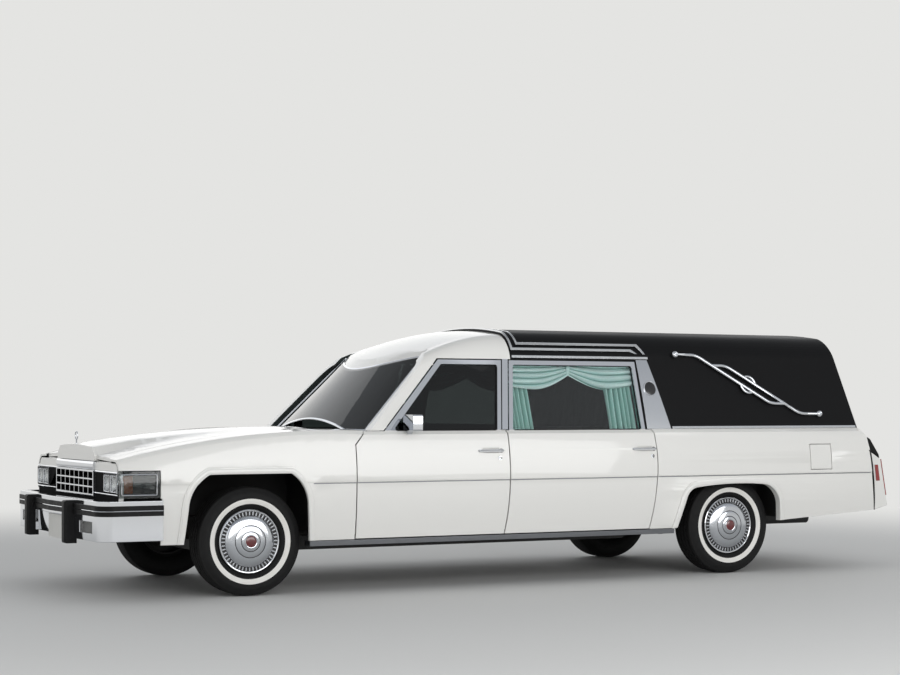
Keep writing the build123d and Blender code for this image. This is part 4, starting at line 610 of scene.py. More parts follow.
# Faces that get another finish than their panel, told by place, normal and area
post_rear_x = 0.09
post_front_x = 0.24
post_top_z = 1.505
ceiling_z = 1.2
tail_x = -2.2
grille_half = 0.42
grille_base_z = 0.635
grille_top_z = 0.790
rear_pull_x = -2.80
rear_pull_y = -0.59
rear_pull_base_z = 0.90
rear_pull_top_z = 1.07


def inward(centre, normal, area):
    return normal.y * centre.y < -0.2 * abs(centre.y)


def above_belt(centre, normal, area):
    return centre.z > glass_base_z + 0.5 * mm


def is_handle(centre, normal, area):
    return abs(centre.z - door_pull_z) < 22 * mm and abs(centre.y) > side_y(centre.z) + 3 * mm


def is_post(centre, normal, area):
    return glass_base_z + 2 * mm < centre.z < post_top_z and post_rear_x < centre.x < post_front_x


def is_ceiling(centre, normal, area):
    overhead = normal.z < -0.4 and centre.z > ceiling_z
    return overhead or (inward(centre, normal, area) and centre.z > glass_base_z + 10 * mm)


def is_inner_tail(centre, normal, area):
    return normal.x > 0.5 and centre.x < tail_x


def faces_down(centre, normal, area):
    return normal.z < -0.25


def faces_ahead(centre, normal, area):
    return normal.x > 0.5


def is_lamp_zone(centre, normal, area):
    return faces_ahead(centre, normal, area) and centre.z < lamp_zone_top_z


def is_cell_wall(centre, normal, area):
    in_grille = abs(centre.y) < grille_half and grille_base_z < centre.z < grille_top_z
    return abs(normal.x) < 0.5 and in_grille


def is_mirror_face(centre, normal, area):
    return normal.x < -0.8 and area > 0.008


def is_rear_pull(centre, normal, area):
    at_pull = abs(centre.y - rear_pull_y) < 0.05 and rear_pull_base_z < centre.z < rear_pull_top_z
    return centre.x < rear_pull_x and at_pull and area < 0.012


# Changes of shape that a finish needs
panel_base_z = 1.040
panel_top_z = 1.526
panel_bow = 8 * mm
rod_growth = 2.5 * mm


def panel_swell(height):
    """How far a post panel bows out at a height."""
    share = (height - panel_base_z) / (panel_top_z - panel_base_z)
    return panel_bow * (1 - (2 * share - 1) ** 2)


def bow_panels(shape):
    """Bows the outer faces of the post panels between their ends, to catch a changing reflection."""
    steps = 16
    for at in range(1, steps):
        sliced(shape, panel_base_z + (panel_top_z - panel_base_z) * at / steps)
    for vert in shape.verts:
        if abs(vert.co.y) > side_y(vert.co.z) + 2 * mm:
            vert.co.y += (1 if vert.co.y > 0 else -1) * panel_swell(vert.co.z)


def thicken_rods(shape):
    """Grows the landau bars to the weight that they have with their plating."""
    shape.normal_update()
    for vert in shape.verts:
        vert.co += vert.normal * rod_growth


def split_lamp_zone(shape):
    """Splits the nose above the lamps, so that the lamp zone can have its own finish."""
    sliced(shape, lamp_zone_top_z)


reshapes = {"nose_panel": split_lamp_zone, "pillar_panels": bow_panels, "landau_bars": thicken_rods}
door_paints = ((chrome_plate, above_belt), (chrome_plate, is_handle), (moulded_trim, inward))

# Body panels and other CAD shapes: node, finish, edge radius in mm, finishes of chosen faces
panel_finishes = [
    ("front_fenders", white_enamel, 5, (dark_paint, inward)),
    # The hood's faces turned down take dark paint, where such hoods are body colour underneath: painted shade
    # under the hood
    ("hood", white_enamel, 4, (dark_paint, faces_down)),
    # The nose's lamp zone takes the dull black: black paint that is also painted dark reflection around the
    # headlamps
    ("nose_panel", white_enamel, 2, (dull_black, is_lamp_zone)),
    ("cab_shell", white_enamel, 3, (headliner, is_ceiling), (chrome_plate, is_post)),
    ("quarters", white_enamel, 5, (dark_paint, inward)),
    ("tail_fins", white_enamel, 8),
    ("rear_door", white_enamel, 3, (chrome_plate, is_rear_pull), (moulded_trim, is_inner_tail)),
    ("fuel_door", white_enamel, 1.5),
    ("door_front_left", white_enamel, 2, *door_paints),
    ("door_front_right", white_enamel, 2, *door_paints),
    ("door_rear_left", white_enamel, 2, *door_paints),
    ("door_rear_right", white_enamel, 2, *door_paints),
    ("vinyl_roof", black_vinyl, 6, (headliner, is_ceiling), (headliner, is_inner_tail)),
    ("front_bumper", chrome_plate, 6),
    ("rear_bumper", chrome_plate, 3),
    # The grille's cell walls and the bezels' front faces take the dull black: painted shade in the cells and
    # painted dark reflection on the bezels, over black paint
    ("grille", chrome_plate, 1, (dull_black, is_cell_wall)),
    ("lamp_bezels", chrome_plate, 2, (dull_black, faces_ahead)),
    ("hood_ornament", chrome_plate, 0),
    ("bright_mouldings", bright_trim, 1.5),
    ("landau_bars", chrome_plate, 0),
    ("door_mirror_left", chrome_plate, 12, (mirror_glass, is_mirror_face)),
    ("door_mirror_right", chrome_plate, 12, (mirror_glass, is_mirror_face)),
    ("pillar_panels", brushed_stainless, 1),
    ("sills", satin_aluminium, 2),
    ("exhaust", satin_aluminium, 0),
    ("windscreen", tinted_glass, 0),
    ("glass_front_left", tinted_glass, 0),
    ("glass_front_right", tinted_glass, 0),
    ("glass_rear_left", clear_glass, 0),
    ("glass_rear_right", clear_glass, 0),
    ("rear_door_glass", tinted_glass, 0),
    ("tail_lamps", red_lens, 2),
    ("bumper_rubber", black_rubber, 2),
    ("blank_plates", plate_enamel, 1),
    ("chassis_frame", dark_paint, 4),
    ("front_suspension", dark_paint, 3),
    ("rear_axle", dark_paint, 3),
    ("floor_pan", dark_paint, 0),
    ("fuel_tank", dark_paint, 0),
    ("engine_and_shaft", cast_iron, 5),
    ("knuckle_left", cast_iron, 2),
    ("knuckle_right", cast_iron, 2),
    ("dashboard", moulded_trim, 4),
    ("steering_wheel", moulded_trim, 0),
    ("casket_deck", deck_wood, 3),
]
for node, material, edge_mm, *repaints in panel_finishes:
    dress(node, material, edge_mm * mm, *repaints, reshape=reshapes.get(node))

# Wheels: tyre with white band and zigzag tread, rim and drum, spun cover with a ring of fins
band_inner = 0.233
band_outer = 0.266
band_rise = 1.4 * mm
sidewall_ribs = ((0.297, 0.304), (0.309, 0.313))
rib_rise = 0.8 * mm
bulge_end = (0.329, 0.090)
bulge = bow((0.207, 0.072), (0.272, 0.106), bulge_end, 24) + [bulge_end]
tread_half = 0.08
tread_crown = 2 * mm
groove_middles = (0.058, 0.020, -0.020, -0.058)
groove_outline = ((0.006, 0), (0.0042, 0.008), (-0.0042, 0.008), (-0.006, 0))
groove_sway = 3.5 * mm


def tyre_profile():
    """A tyre's profile: bead, sidewall with band and ribs, shoulder, grooved tread, then the inner half."""
    outer = [(0.193, 0.064, 0), (0.196, 0.072, 0), (0.203, 0.0735, 0)]
    for radius, height in bulge:
        in_band = band_inner < radius < band_outer
        in_rib = any(start < radius < end for start, end in sidewall_ribs)
        rise = band_rise if in_band else rib_rise if in_rib else 0.0
        outer.append((radius, height + rise, 1 if in_band else 0))
    shoulder = [(0.335, 0.0885, 2), (0.3395, 0.0855, 2), (0.3425, 0.0815, 2)]
    tread = []
    for middle in groove_middles:
        for offset, depth in groove_outline:
            across = middle + offset
            crown = tyre_radius - tread_crown * (across / tread_half) ** 2
            tread.append((crown - depth, across, 2, groove_sway))
    inner = [(radius, -height, 0 if finish == 1 else finish)
             for radius, height, finish in reversed(outer + shoulder)]
    return outer + shoulder + tread + inner


# Columns: radius, height over the wheel's middle, finish (0 painted rim, 1 iron drum)
rim_profile = [
    (0.0205, -0.030, 1), (0.140, -0.030, 1), (0.140, 0.008, 0), (0.176, 0.008, 0), (0.176, -0.060, 0),
    (0.180, -0.066, 0), (0.193, -0.068, 0), (0.193, 0.068, 0), (0.176, 0.068, 0), (0.176, 0.018, 0),
    (0.056, 0.018, 1), (0.056, 0.062, 1), (0.0205, 0.062, 1), (0.0205, -0.030, 1),
]
# Columns: radius, height over the wheel's middle, finish (0 chrome, 1 dark channel, 2 spun dish, 3 cap)
cover_profile = [
    (0.0, 0.070, 1), (0.176, 0.070, 1), (0.198, 0.077, 0), (0.2035, 0.080, 0), (0.204, 0.083, 0),
    (0.202, 0.0865, 0), (0.198, 0.089, 0), (0.194, 0.0885, 0), (0.1905, 0.086, 0), (0.189, 0.081, 1),
    (0.165, 0.080, 1), (0.1638, 0.086, 2), (0.162, 0.0885, 2), (0.156, 0.0925, 2), (0.146, 0.0970, 2),
    (0.134, 0.1005, 2), (0.120, 0.1030, 2), (0.1045, 0.1045, 2), (0.1035, 0.1020, 1), (0.1005, 0.1020, 1),
    (0.0995, 0.1042, 2), (0.092, 0.1068, 2), (0.080, 0.1090, 2), (0.0655, 0.1100, 2), (0.0645, 0.1075, 1),
    (0.0615, 0.1075, 1), (0.0605, 0.1098, 2), (0.054, 0.1122, 2), (0.0435, 0.1130, 0), (0.0420, 0.1165, 0),
    (0.0395, 0.1180, 0), (0.0365, 0.1172, 3), (0.0355, 0.1160, 3), (0.030, 0.1188, 3), (0.018, 0.1204, 3),
    (0.0, 0.1210, 3),
]
fin_count = 48
fin_ring_radius = 0.177
fin_rise = 0.0835
fin_size = (0.0235, 0.0085, 0.008)
fin_ring = ring_tree("cover_fins", spun_stainless)
wheel_places = (("front_left", front_axle_x, 1), ("front_right", front_axle_x, -1),
                ("rear_left", rear_axle_x, 1), ("rear_right", rear_axle_x, -1))
for place, axle_x, side in wheel_places:
    wheel = "road_wheel_" + place
    spot = Matrix(((-side, 0, 0, axle_x), (0, 0, side, side * wheel_y), (0, 1, 0, axle_z), (0, 0, 0, 1)))
    tyre_shape = placed(turned(tyre_profile(), 240, waves=60), spot)
    tyre = finished(tyre_shape, "tyre_" + place + "_tread", wheel, "tyre", tyre_rubber, white_rubber,
                    tread_rubber)
    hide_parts("tyre_" + place)
    rim_shape = placed(turned(rim_profile, 72), spot)
    rim = finished(rim_shape, "rim_" + place, wheel, "chrome", dark_paint, cast_iron)
    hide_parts("wheel_" + place)
    cover = placed(turned(cover_profile, 120), spot)
    finished(cover, "cover_" + place, wheel, "chrome", chrome_plate, dark_paint, spun_stainless, red_enamel)
    fin_spot = spot @ Matrix.Translation((0, 0, fin_rise))
    fins = grown(fin_ring, "cover_fins_" + place, fin_spot, Count=fin_count, Radius=fin_ring_radius,
                 Block=fin_size)
    soften(add_piece("cover_fins_" + place, fins, wheel, "chrome"), 1.0 * mm)

# Window seals and bright reveals, taken from the outlines of the glass
outline_step = 20 * mm
for place, body in (("front_left", "door_fl"), ("front_right", "door_fr"), ("rear_left", "door_rl"),
                    ("rear_right", "door_rr")):
    side = 1 if place.endswith("left") else -1
    loop = face_outline("glass_" + place, lambda centre, normal: normal.y * side > 0.8)
    strip_along("window_seal_" + place, even_points(loop, outline_step, True), round_profile(6 * mm), True,
                body, "rubber", black_rubber, Vector((0, side, window_slope)))
screen_loop = face_outline("windscreen", lambda centre, normal: normal.x > 0.4 and normal.z > 0.2)
strip_along("screen_reveal", even_points(screen_loop, outline_step, True), round_profile(9 * mm, flat=0.6),
            True, "body", "chrome", chrome_plate, Vector((0.7, 0, 0.7)))
tail_loop = face_outline("rear_door_glass", lambda centre, normal: normal.x < -0.8)
strip_along("rear_window_reveal", even_points(tail_loop, outline_step, True), round_profile(10 * mm), True,
            "tailgate", "chrome", chrome_plate, Vector((-1, 0, 0.2)))

# Side moulding just under the crease: node, front end, rear end
cast_reach = 2
moulding_drop = 7 * mm
moulding_step = 0.1
moulding_profile = [(-3 * mm, -2 * mm), (3 * mm, -2 * mm), (3 * mm, 2 * mm), (1.5 * mm, 3.2 * mm),
                    (-1.5 * mm, 3.2 * mm), (-3 * mm, 2 * mm)]
for name, side in sides:
    for node, x_front, x_rear in (("front_fenders", 1.632, 1.335), ("door_front_" + name, 1.325, 0.209),
                                  ("door_rear_" + name, 0.199, -0.964), ("quarters", -0.976, -2.855)):
        steps = ceil((x_front - x_rear) / moulding_step)
        places_x = [x_front + (x_rear - x_front) * at / steps for at in range(steps + 1)]
        starts = [Vector((x, side * cast_reach, crease_z - moulding_drop)) for x in places_x]
        strip_along("side_moulding_" + node + "_" + name, cast_path(skin(node), starts, outward(-side)),
                    moulding_profile, False, body_of[node], "brushed_steel", satin_aluminium, outward(side))

# Rolled lips of the wheel openings: outlines of (ahead of the axle, height)
front_arch = ([(0.458, 0.345)] + bow((0.436, 0.560), (0.394, 0.692), (0.300, 0.775), 14) + [(0.300, 0.775)]
              + bow((-0.235, 0.775), (-0.318, 0.692), (-0.354, 0.560), 14)
              + [(-0.354, 0.560), (-0.370, 0.345)])
rear_arch = ([(0.500, 0.350), (0.430, 0.560)] + bow((0.430, 0.560), (0.398, 0.606), (0.335, 0.632), 6)
             + bow((0.335, 0.632), (0.050, 0.648), (-0.240, 0.640), 8)
             + bow((-0.240, 0.640), (-0.330, 0.588), (-0.372, 0.505), 8) + [(-0.372, 0.505), (-0.384, 0.382)])
lip_offset = 18 * mm
lip_profile = round_profile(17 * mm, 14, 0.4)
for node, axle_x, arch in (("front_fenders", front_axle_x, front_arch), ("quarters", rear_axle_x, rear_arch)):
    tree = skin(node)
    middle = Vector((axle_x, 0, axle_z))
    for name, side in sides:
        edge = even_points([Vector((axle_x + x, 0, z)) for x, z in arch], outline_step, False)
        starts = [point + (point - middle).normalized() * lip_offset + outward(side) * cast_reach
                  for point in edge]
        strip_along("arch_lip_" + node + "_" + name, cast_path(tree, starts, outward(-side), -1 * mm),
                    lip_profile, False, "body", "white_paint", white_enamel, outward(side))

# Door pulls with a black seat under each end, painted shade of the recess behind the grip, and a round lock:
# outlines of (along, out), (radius, height, finish)
pull_shape = [(0.092, 0.004), (0.086, 0.016), (0.066, 0.023), (0.020, 0.026), (-0.030, 0.026),
              (-0.064, 0.024), (-0.084, 0.018), (-0.092, 0.004)]
pull_shade_plates = (("front", 0.086, 0.010), ("rear", -0.078, 0.019))
lock_profile = [(0.0145, -0.001, 0), (0.0145, 0.003, 0), (0.013, 0.005, 0), (0.0105, 0.0052, 1),
                (0.0095, 0.004, 1), (0.004, 0.004, 0), (0.0035, 0.0048, 0), (0.0, 0.005, 0)]
lock_behind = 0.066
lock_drop = 0.050
for door, front_body, pull_x in (("front", "door_f", 0.346), ("rear", "door_r", -0.866)):
    for name, side in sides:
        body = front_body + name[0]
        path = [side_spot(pull_x + along, door_pull_z, side, out).translation for along, out in pull_shape]
        strip_along("pull_" + door + "_" + name, path, round_profile(7 * mm, 10, 0.7), False, body, "chrome",
                    chrome_plate, upward)
        for end, along, seat in pull_shade_plates:
            seat_profile = [(seat, -0.002), (seat, 0.0015), (seat * 0.9, 0.003), (0.0, 0.003)]
            seat_spot = side_spot(pull_x + along, door_pull_z, side)
            recess = placed(turned(seat_profile, 24, squash=0.72), seat_spot)
            # Black plate under each end of the pull: painted shade of the recess behind the grip
            finished(recess, f"pull_seat_{door}_{end}_{name}", body, "chrome", black_enamel)
        lock_spot = side_spot(pull_x - lock_behind, door_pull_z - lock_drop, side)
        lock = placed(turned(lock_profile, 24), lock_spot)
        finished(lock, "lock_" + door + "_" + name, body, "chrome", chrome_plate, black_enamel)

# Grille: a bright header bar that crowns forward in its middle, and a dark board behind the cells: painted
# shade for the space behind the grille
header_x = 2.884
header_z = 0.8235
header_half = 0.424
header_crown = 6 * mm
header_steps = 8
header_profile = [(-4 * mm, -25 * mm), (8 * mm, -25 * mm), (12 * mm, -18 * mm), (14 * mm, 0),
                  (12 * mm, 18 * mm), (8 * mm, 25 * mm), (-4 * mm, 25 * mm)]
header_shares = [at / header_steps for at in range(-header_steps, header_steps + 1)]
header_path = [Vector((header_x + header_crown * (1 - share ** 2), share * header_half, header_z))
               for share in header_shares]
strip_along("grille_header", header_path, header_profile, False, "body", "chrome", chrome_plate, upward)
# Dark board behind the grille's cells: painted shade
shade_board = block((2.848, 0, 0.7125), (0.006, 0.84, 0.16))
finished(shade_board, "grille_shade_board", "body", "chassis_black", dark_paint)

# Front lamps: fluted sealed beams over bright dishes, smoked corner lamps with an amber cell, turn lamps
lamp_x = 2.8865
lamp_z = 0.722
lamp_middles = (("inner", 0.70875), ("outer", 0.84125))
lamp_half_width = 0.0606
lamp_half_height = 0.0498
lamp_dome = 4 * mm
lamp_glass_thickness = 5 * mm
dish_setback = 7 * mm
dish_depth = 26 * mm
rim_lead = 6 * mm
rim_half_width = lamp_half_width + 2 * mm
rim_half_height = lamp_half_height + 2 * mm
turn_lamp_top_z = 0.6
corner_lens_x = 2.895
corner_lens_front_x = 2.85
corner_lens_y = 0.915
corner_frame = [(2.655, 0.655), (2.872, 0.655), (2.872, 0.781), (2.655, 0.781)]


def lamp_cell(centre, half_width, half_height, depth, rings=8, steps=32):
    """A bright dish with a squarish mouth, open to the front."""
    shape = bmesh.new()
    loops = []
    for ring in range(rings + 1):
        share = ring / rings
        loop = []
        for step in range(steps):
            turn = 2 * pi * step / steps
            square = 1 / max(abs(cos(turn)), abs(sin(turn)))
            reach = share * (1 + (square - 1) * share ** 3)
            y, z = half_width * reach * cos(turn), half_height * reach * sin(turn)
            loop.append(shape.verts.new(centre + Vector((-depth * (1 - share ** 2), y, z))))
        loops.append(loop)
    for near, far in zip(loops, loops[1:]):
        for step in range(steps):
            after = (step + 1) % steps
            shape.faces.new((near[step], near[after], far[after], far[step]))
    return shape


def lamp_glass(centre, half_width, half_height, bulge_depth, steps=10):
    """A slightly domed lamp glass with a rim of its own thickness."""
    shape = bmesh.new()
    fronts, backs = [], []
    for row in range(steps + 1):
        up = 2 * row / steps - 1
        for column in range(steps + 1):
            across = 2 * column / steps - 1
            dome = bulge_depth * (1 - across ** 4) * (1 - up ** 4)
            spot = centre + Vector((dome, half_width * across, half_height * up))
            fronts.append(shape.verts.new(spot))
            backs.append(shape.verts.new(spot - forward * lamp_glass_thickness))
    size = steps + 1
    for row in range(steps):
        for column in range(steps):
            first = row * size + column
            corners = (first, first + 1, first + size + 1, first + size)
            shape.faces.new([fronts[corner] for corner in corners])
            shape.faces.new([backs[corner] for corner in reversed(corners)])
    border = list(range(size)) + [row * size + steps for row in range(1, size)]
    border += [steps * size + column for column in reversed(range(steps))]
    border += [row * size for row in reversed(range(1, steps))]
    for near, far in zip(border, border[1:] + border[:1]):
        shape.faces.new((fronts[near], fronts[far], backs[far], backs[near]))
    return shape


def part_of(node, chooses):
    """The faces of a node that lie where asked, as a bmesh."""
    shape = merged(node)
    others = [face for face in shape.faces if not chooses(face.calc_center_median())]
    bmesh.ops.delete(shape, geom=others, context="FACES")
    bmesh.ops.delete(shape, geom=[vert for vert in shape.verts if not vert.link_faces], context="VERTS")
    return shape


def in_corner_lens(spot):
    """Whether a spot of the front lamps lies on a corner lens, beside or behind the sealed beams."""
    clear_of_beams = abs(spot.y) > corner_lens_y or spot.x < corner_lens_front_x
    return spot.z > turn_lamp_top_z and spot.x < corner_lens_x and clear_of_beams


lamp_skin = skin("front_lamps")
for name, side in sides:
    for order, lamp_y in lamp_middles:
        centre = Vector((lamp_x, side * lamp_y, lamp_z))
        pane = lamp_glass(centre, lamp_half_width, lamp_half_height, lamp_dome)
        glass = finished(pane, f"headlamp_{order}_{name}", "body", "lamp_glass", fluted_lens)
        dish = lamp_cell(centre - forward * dish_setback, lamp_half_width, lamp_half_height, dish_depth)
        finished(dish, f"headlamp_dish_{order}_{name}", "body", "chrome", lamp_silver)
        ring = [centre + Vector((rim_lead, across * rim_half_width, up * rim_half_height))
                for across, up in ((-1, -1), (1, -1), (1, 1), (-1, 1))]
        strip_along(f"headlamp_rim_{order}_{name}", even_points(ring, 0.01, True), round_profile(3 * mm),
                    True, "body", "chrome", chrome_plate, forward)
        if order == "inner" and side == 1:
            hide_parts("front_lamps")
    corner = part_of("front_lamps", lambda spot: spot.y * side > 0 and in_corner_lens(spot))
    finished(corner, "corner_lens_" + name, "body", "lamp_glass", smoked_lens, recalc=False)
    turn = part_of("front_lamps", lambda spot: spot.y * side > 0 and spot.z < turn_lamp_top_z)
    finished(turn, "turn_lens_" + name, "body", "lamp_glass", fluted_lens, recalc=False)
    rail = even_points([Vector((x, side * cast_reach, z)) for x, z in corner_frame], 0.012, True)
    strip_along("corner_lamp_frame_" + name, cast_path(lamp_skin, rail, outward(-side)),
                round_profile(4 * mm), True, "body", "chrome", chrome_plate, outward(side))
    cell = block((2.825, side * 0.905, 0.718), (0.062, 0.02, 0.105))
    soften(finished(cell, "amber_cell_" + name, "body", "lamp_glass", amber_lens), 3 * mm)
    wall = block((2.745, side * 0.880, 0.718), (0.225, 0.004, 0.155))
    finished(wall, "corner_lamp_back_" + name, "body", "chassis_black", black_enamel)

# Bright edges above and below each pair of headlamps, and a black filler between each quarter and tail fin
lamp_edge_x = 2.887
lamp_edge_y = 0.440
lamp_edge_length = 0.472
lamp_edge_heights = (("top", 0.7905), ("base", 0.6535))
# Points of the filler: distance behind the rear axle, height
filler_line = ((1.210, 0.872), (1.223, 0.760), (1.238, 0.650), (1.247, 0.540), (1.256, 0.430))
filler_inset = 5 * mm
for name, side in sides:
    for place, edge_z in lamp_edge_heights:
        places_y = [side * (lamp_edge_y + lamp_edge_length * at / 4) for at in range(5)]
        path = [Vector((lamp_edge_x, y, edge_z)) for y in places_y]
        strip_along(f"lamp_edge_{place}_{name}", path, round_profile(5 * mm), False, "body", "chrome",
                    chrome_plate, upward)
    seam = [Vector((rear_axle_x - behind, side * (side_y(z) - filler_inset), z)) for behind, z in filler_line]
    strip_along("fin_filler_" + name, even_points(seam, 0.05, False), round_profile(7 * mm), False, "body",
                "rubber", black_rubber, outward(side))

# A pale seal in the joint under the hood's front edge
seal_half = 0.712
seal_path = [Vector((2.867, seal_half * at / 8, 0.8475)) for at in range(-8, 9)]
strip_along("hood_front_seal", seal_path, round_profile(4 * mm), False, "body", "white_paint", white_enamel,
            upward)

# The quarter's turned-down tail, and the black cap between it and each fin: outlines of (x, z)
tail_shape = [(-2.770, 1.036), (-2.812, 1.010), (-2.842, 0.968), (-2.862, 0.874), (-2.852, 0.872)]
cap_shape = [(-2.846, 0.966), (-2.858, 0.968), (-2.878, 0.955), (-2.950, 0.842), (-2.958, 0.812),
             (-2.864, 0.872)]
cap_inner_y = 0.905
cap_outer_y = 0.988
wedges = (("quarter_tail_", tail_shape, 1 * mm, white_enamel, "white_paint"),
          ("fin_cap_", cap_shape, 10 * mm, black_rubber, "rubber"))
for name, side in sides:
    for label, outline, inset, material, slot in wedges:
        wedge = bmesh.new()
        outer = [wedge.verts.new((x, side * (min(side_y(z), cap_outer_y) - inset), z)) for x, z in outline]
        inner = [wedge.verts.new((x, side * cap_inner_y, z)) for x, z in outline]
        wedge.faces.new(outer)
        wedge.faces.new(inner[::-1])
        for near in range(len(outline)):
            far = (near + 1) % len(outline)
            wedge.faces.new((outer[far], outer[near], inner[near], inner[far]))
        soften(finished(wedge, label + name, "body", slot, material), 3 * mm)

# A thin bright line along the middle of the front bumper's rubber strip, cast from points round a hub
bumper_skin = skin("front_bumper")
line_hub = Vector((2.2, 0, 0.560))
line_turn = 1.15
line_lift = 8.5 * mm
line_points = []
for at in range(-60, 61):
    bearing = radians(at * line_turn)
    aim = Vector((cos(bearing), sin(bearing), 0))
    line_points += cast_path(bumper_skin, [line_hub + aim * cast_reach], -aim, line_lift)
strip_along("bumper_line", line_points, round_profile(3 * mm, 6), False, "body", "chrome", chrome_plate,
            upward)

# Drapes: side panels in upright pleats under a swagged valance that is gathered at a middle knot
drape_front_x = 0.128
drape_rear_x = -0.894
drape_top_z = 1.494
drape_depth = 0.060
swag_middle_z = 1.410
swag_drop = 0.096
swag_low_share = 0.56
swag_end_rise = 0.26
tuck_count = 4.2
tuck_depth = 0.014
swag_belly = 0.016
pleat_ends = (("front", drape_front_x, -0.056), ("rear", drape_rear_x, -0.676))
pleat_top_z = 1.470
pleat_base_z = 1.041
pleat_count = 6
pleat_depth = 0.014
pleat_flare = 0.004
pleat_setback = 0.026


def drape_point(x, z, fold, side):
    """A point behind the window, folded in and out along the window's normal."""
    depth = drape_depth + fold
    return Vector((x, side * (side_y(z) - depth), z))


def cloth(name, side, columns, rows, point, body, material):
    """A cloth sheet from a function of across and down shares; its area and width are worked out but not used.
    """
    shape = bmesh.new()
    layer = shape.loops.layers.uv.new("cloth")
    fold_layer = shape.loops.layers.uv.new("fold")
    spots = [[point(column / columns, row / rows, side) for column in range(columns + 1)]
             for row in range(rows + 1)]
    grid = [[shape.verts.new(spot) for spot, _ in line] for line in spots]
    for row in range(rows):
        for column in range(columns):
            corners = ((0, 0), (1, 0), (1, 1), (0, 1))
            face = shape.faces.new([grid[row + down][column + across] for across, down in corners])
            for loop, (across, down) in zip(face.loops, corners):
                loop[layer].uv = ((column + across) / columns, (row + down) / rows)
                # The "fold" map holds each point's crease depth, which the velour turns into painted highlight
                # and painted shade
                loop[fold_layer].uv = (spots[row + down][column + across][1], 0.5)
    area = sum(face.calc_area() for face in shape.faces)
    width = sum((far[0] - near[0]).length for line in spots for near, far in zip(line, line[1:])) / len(spots)
    piece = finished(shape, name, body, "drape_cloth", material, recalc=False)
    return piece


def crease_depth(phase):
    """How deep in a crease a fold's phase is: 1 at its bottom, 0 on its crest."""
    return (1 - abs(sin(phase / 2))) ** 1.5


def valance(across, down, side):
    """Swags on either side of the middle, with tucks along them that tighten towards the knot."""
    spread = abs(across - 0.5) / 0.5
    past_low = max(0, (spread - swag_low_share) / (1 - swag_low_share))
    sag = sin(min(spread / swag_low_share, 1) * pi / 2) - swag_end_rise * past_low ** 1.6
    low = swag_middle_z - swag_drop * sag
    gather = 0.35 + 0.65 * min(1, spread * 2.2)
    drift = 0.35 * sin(5 * across + 0.6) + 0.5 * (1 - spread)
    phase = 2 * pi * (tuck_count * down ** 0.85 + drift * down)
    tuck = 1 - 2 * abs(sin(phase / 2))
    ripple = 0.3 * sin(phase + 0.8) + 0.18 * sin(2.6 * phase + 7 * across)
    fold = gather * tuck_depth * (tuck + ripple)
    x = drape_front_x + (drape_rear_x - drape_front_x) * across
    z = drape_top_z + (low - drape_top_z) * down
    belly = swag_belly * sin(pi * down) * (0.4 + 0.6 * min(1, spread * 2))
    return drape_point(x, z, fold - belly, side), crease_depth(phase)


def pleated(x_outer, x_inner):
    """The function of a side panel's points: upright pleats that deepen downwards."""
    def point(across, down, side):
        x = x_outer + (x_inner - x_outer) * (across + 0.03 * sin(9 * across) * down)
        phase = 2 * pi * (pleat_count * across + 0.18 * sin(3 * across + 2 * down))
        tuck = 1 - 2 * abs(sin(phase / 2))
        fold = (pleat_depth + pleat_flare * down) * (tuck + 0.25 * sin(phase + 1.0)) + pleat_setback
        z = pleat_top_z + (pleat_base_z - pleat_top_z) * down
        return drape_point(x, z, fold, side), crease_depth(phase)

    return point


knot_profile = [(0.006, -0.042), (0.012, -0.038), (0.016, -0.020), (0.0125, 0.0), (0.016, 0.022),
                (0.012, 0.038), (0.006, 0.042)]
knot_z = 1.452
knot_lead = -0.014
for name, side in sides:
    body = "door_r" + name[0]
    top_cloth = cloth("drape_valance_" + name, side, 140, 80, valance, body, drape_velour)
    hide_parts("drape_" + name)
    for end, x_outer, x_inner in pleat_ends:
        cloth(f"drape_panel_{end}_{name}", side, 140, 24, pleated(x_outer, x_inner), body,
              shaded_pleat_velour)
    knot_place = drape_point((drape_front_x + drape_rear_x) / 2, knot_z, knot_lead, side)
    knot = placed(turned(knot_profile, 20, squash=0.6), Matrix.Translation(knot_place))
    finished(knot, "drape_knot_" + name, body, "drape_cloth", knot_velour)

# Bench seat: cushion and back, sewn in upright channels; outlines of (behind the front axle, height)
seat_half = 0.685
seat_end = 0.05
seat_end_pull = 0.06
channel_width = 0.098
channel_groove = 0.010
cushion_outline = [(1.425, 0.42), (1.402, 0.632), (1.60, 0.626), (1.86, 0.600), (1.93, 0.42)]
back_outline = [(1.868, 0.590), (1.900, 0.760), (1.962, 1.072), (2.072, 1.072), (1.985, 0.560)]


def channelled(name, outline):
    """A padded form: a rounded side outline drawn across the car, pulled in at its ends and channels."""
    count = 48
    path = even_points([Vector((front_axle_x - behind, 0, z)) for behind, z in outline], 0.01, True)
    round_length = sum((a - b).length for a, b in zip(path, path[1:] + path[:1]))
    path = even_points(path, round_length / count, True)
    for _ in range(3):
        path = [(path[at - 1] + path[at] * 2 + path[(at + 1) % len(path)]) / 4 for at in range(len(path))]
    middle = sum(path, Vector()) / len(path)
    shape = bmesh.new()
    rows = []
    steps = int(2 * seat_half / 0.01)
    for step in range(steps + 1):
        y = -seat_half + 2 * seat_half * step / steps
        near_end = min(seat_half - abs(y), seat_end) / seat_end
        rounding = seat_end_pull * (1 - sqrt(1 - (1 - near_end) ** 2))
        pull = rounding + channel_groove * abs(cos(pi * y / channel_width)) ** 12
        row = []
        for point in path:
            inwards = (middle - point).normalized()
            row.append(shape.verts.new(point + inwards * pull + Vector((0, y, 0))))
        rows.append(row)
    size = len(path)
    for near, far in zip(rows, rows[1:]):
        for at in range(size):
            after = (at + 1) % size
            shape.faces.new((near[at], near[after], far[after], far[at]))
    shape.faces.new(rows[0])
    shape.faces.new(rows[-1])
    piece = finished(shape, name, "body", "seat_cloth", seat_cloth)
    return piece


cushion = channelled("seat_cushion", cushion_outline)
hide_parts("front_seat")
channelled("seat_back", back_outline)

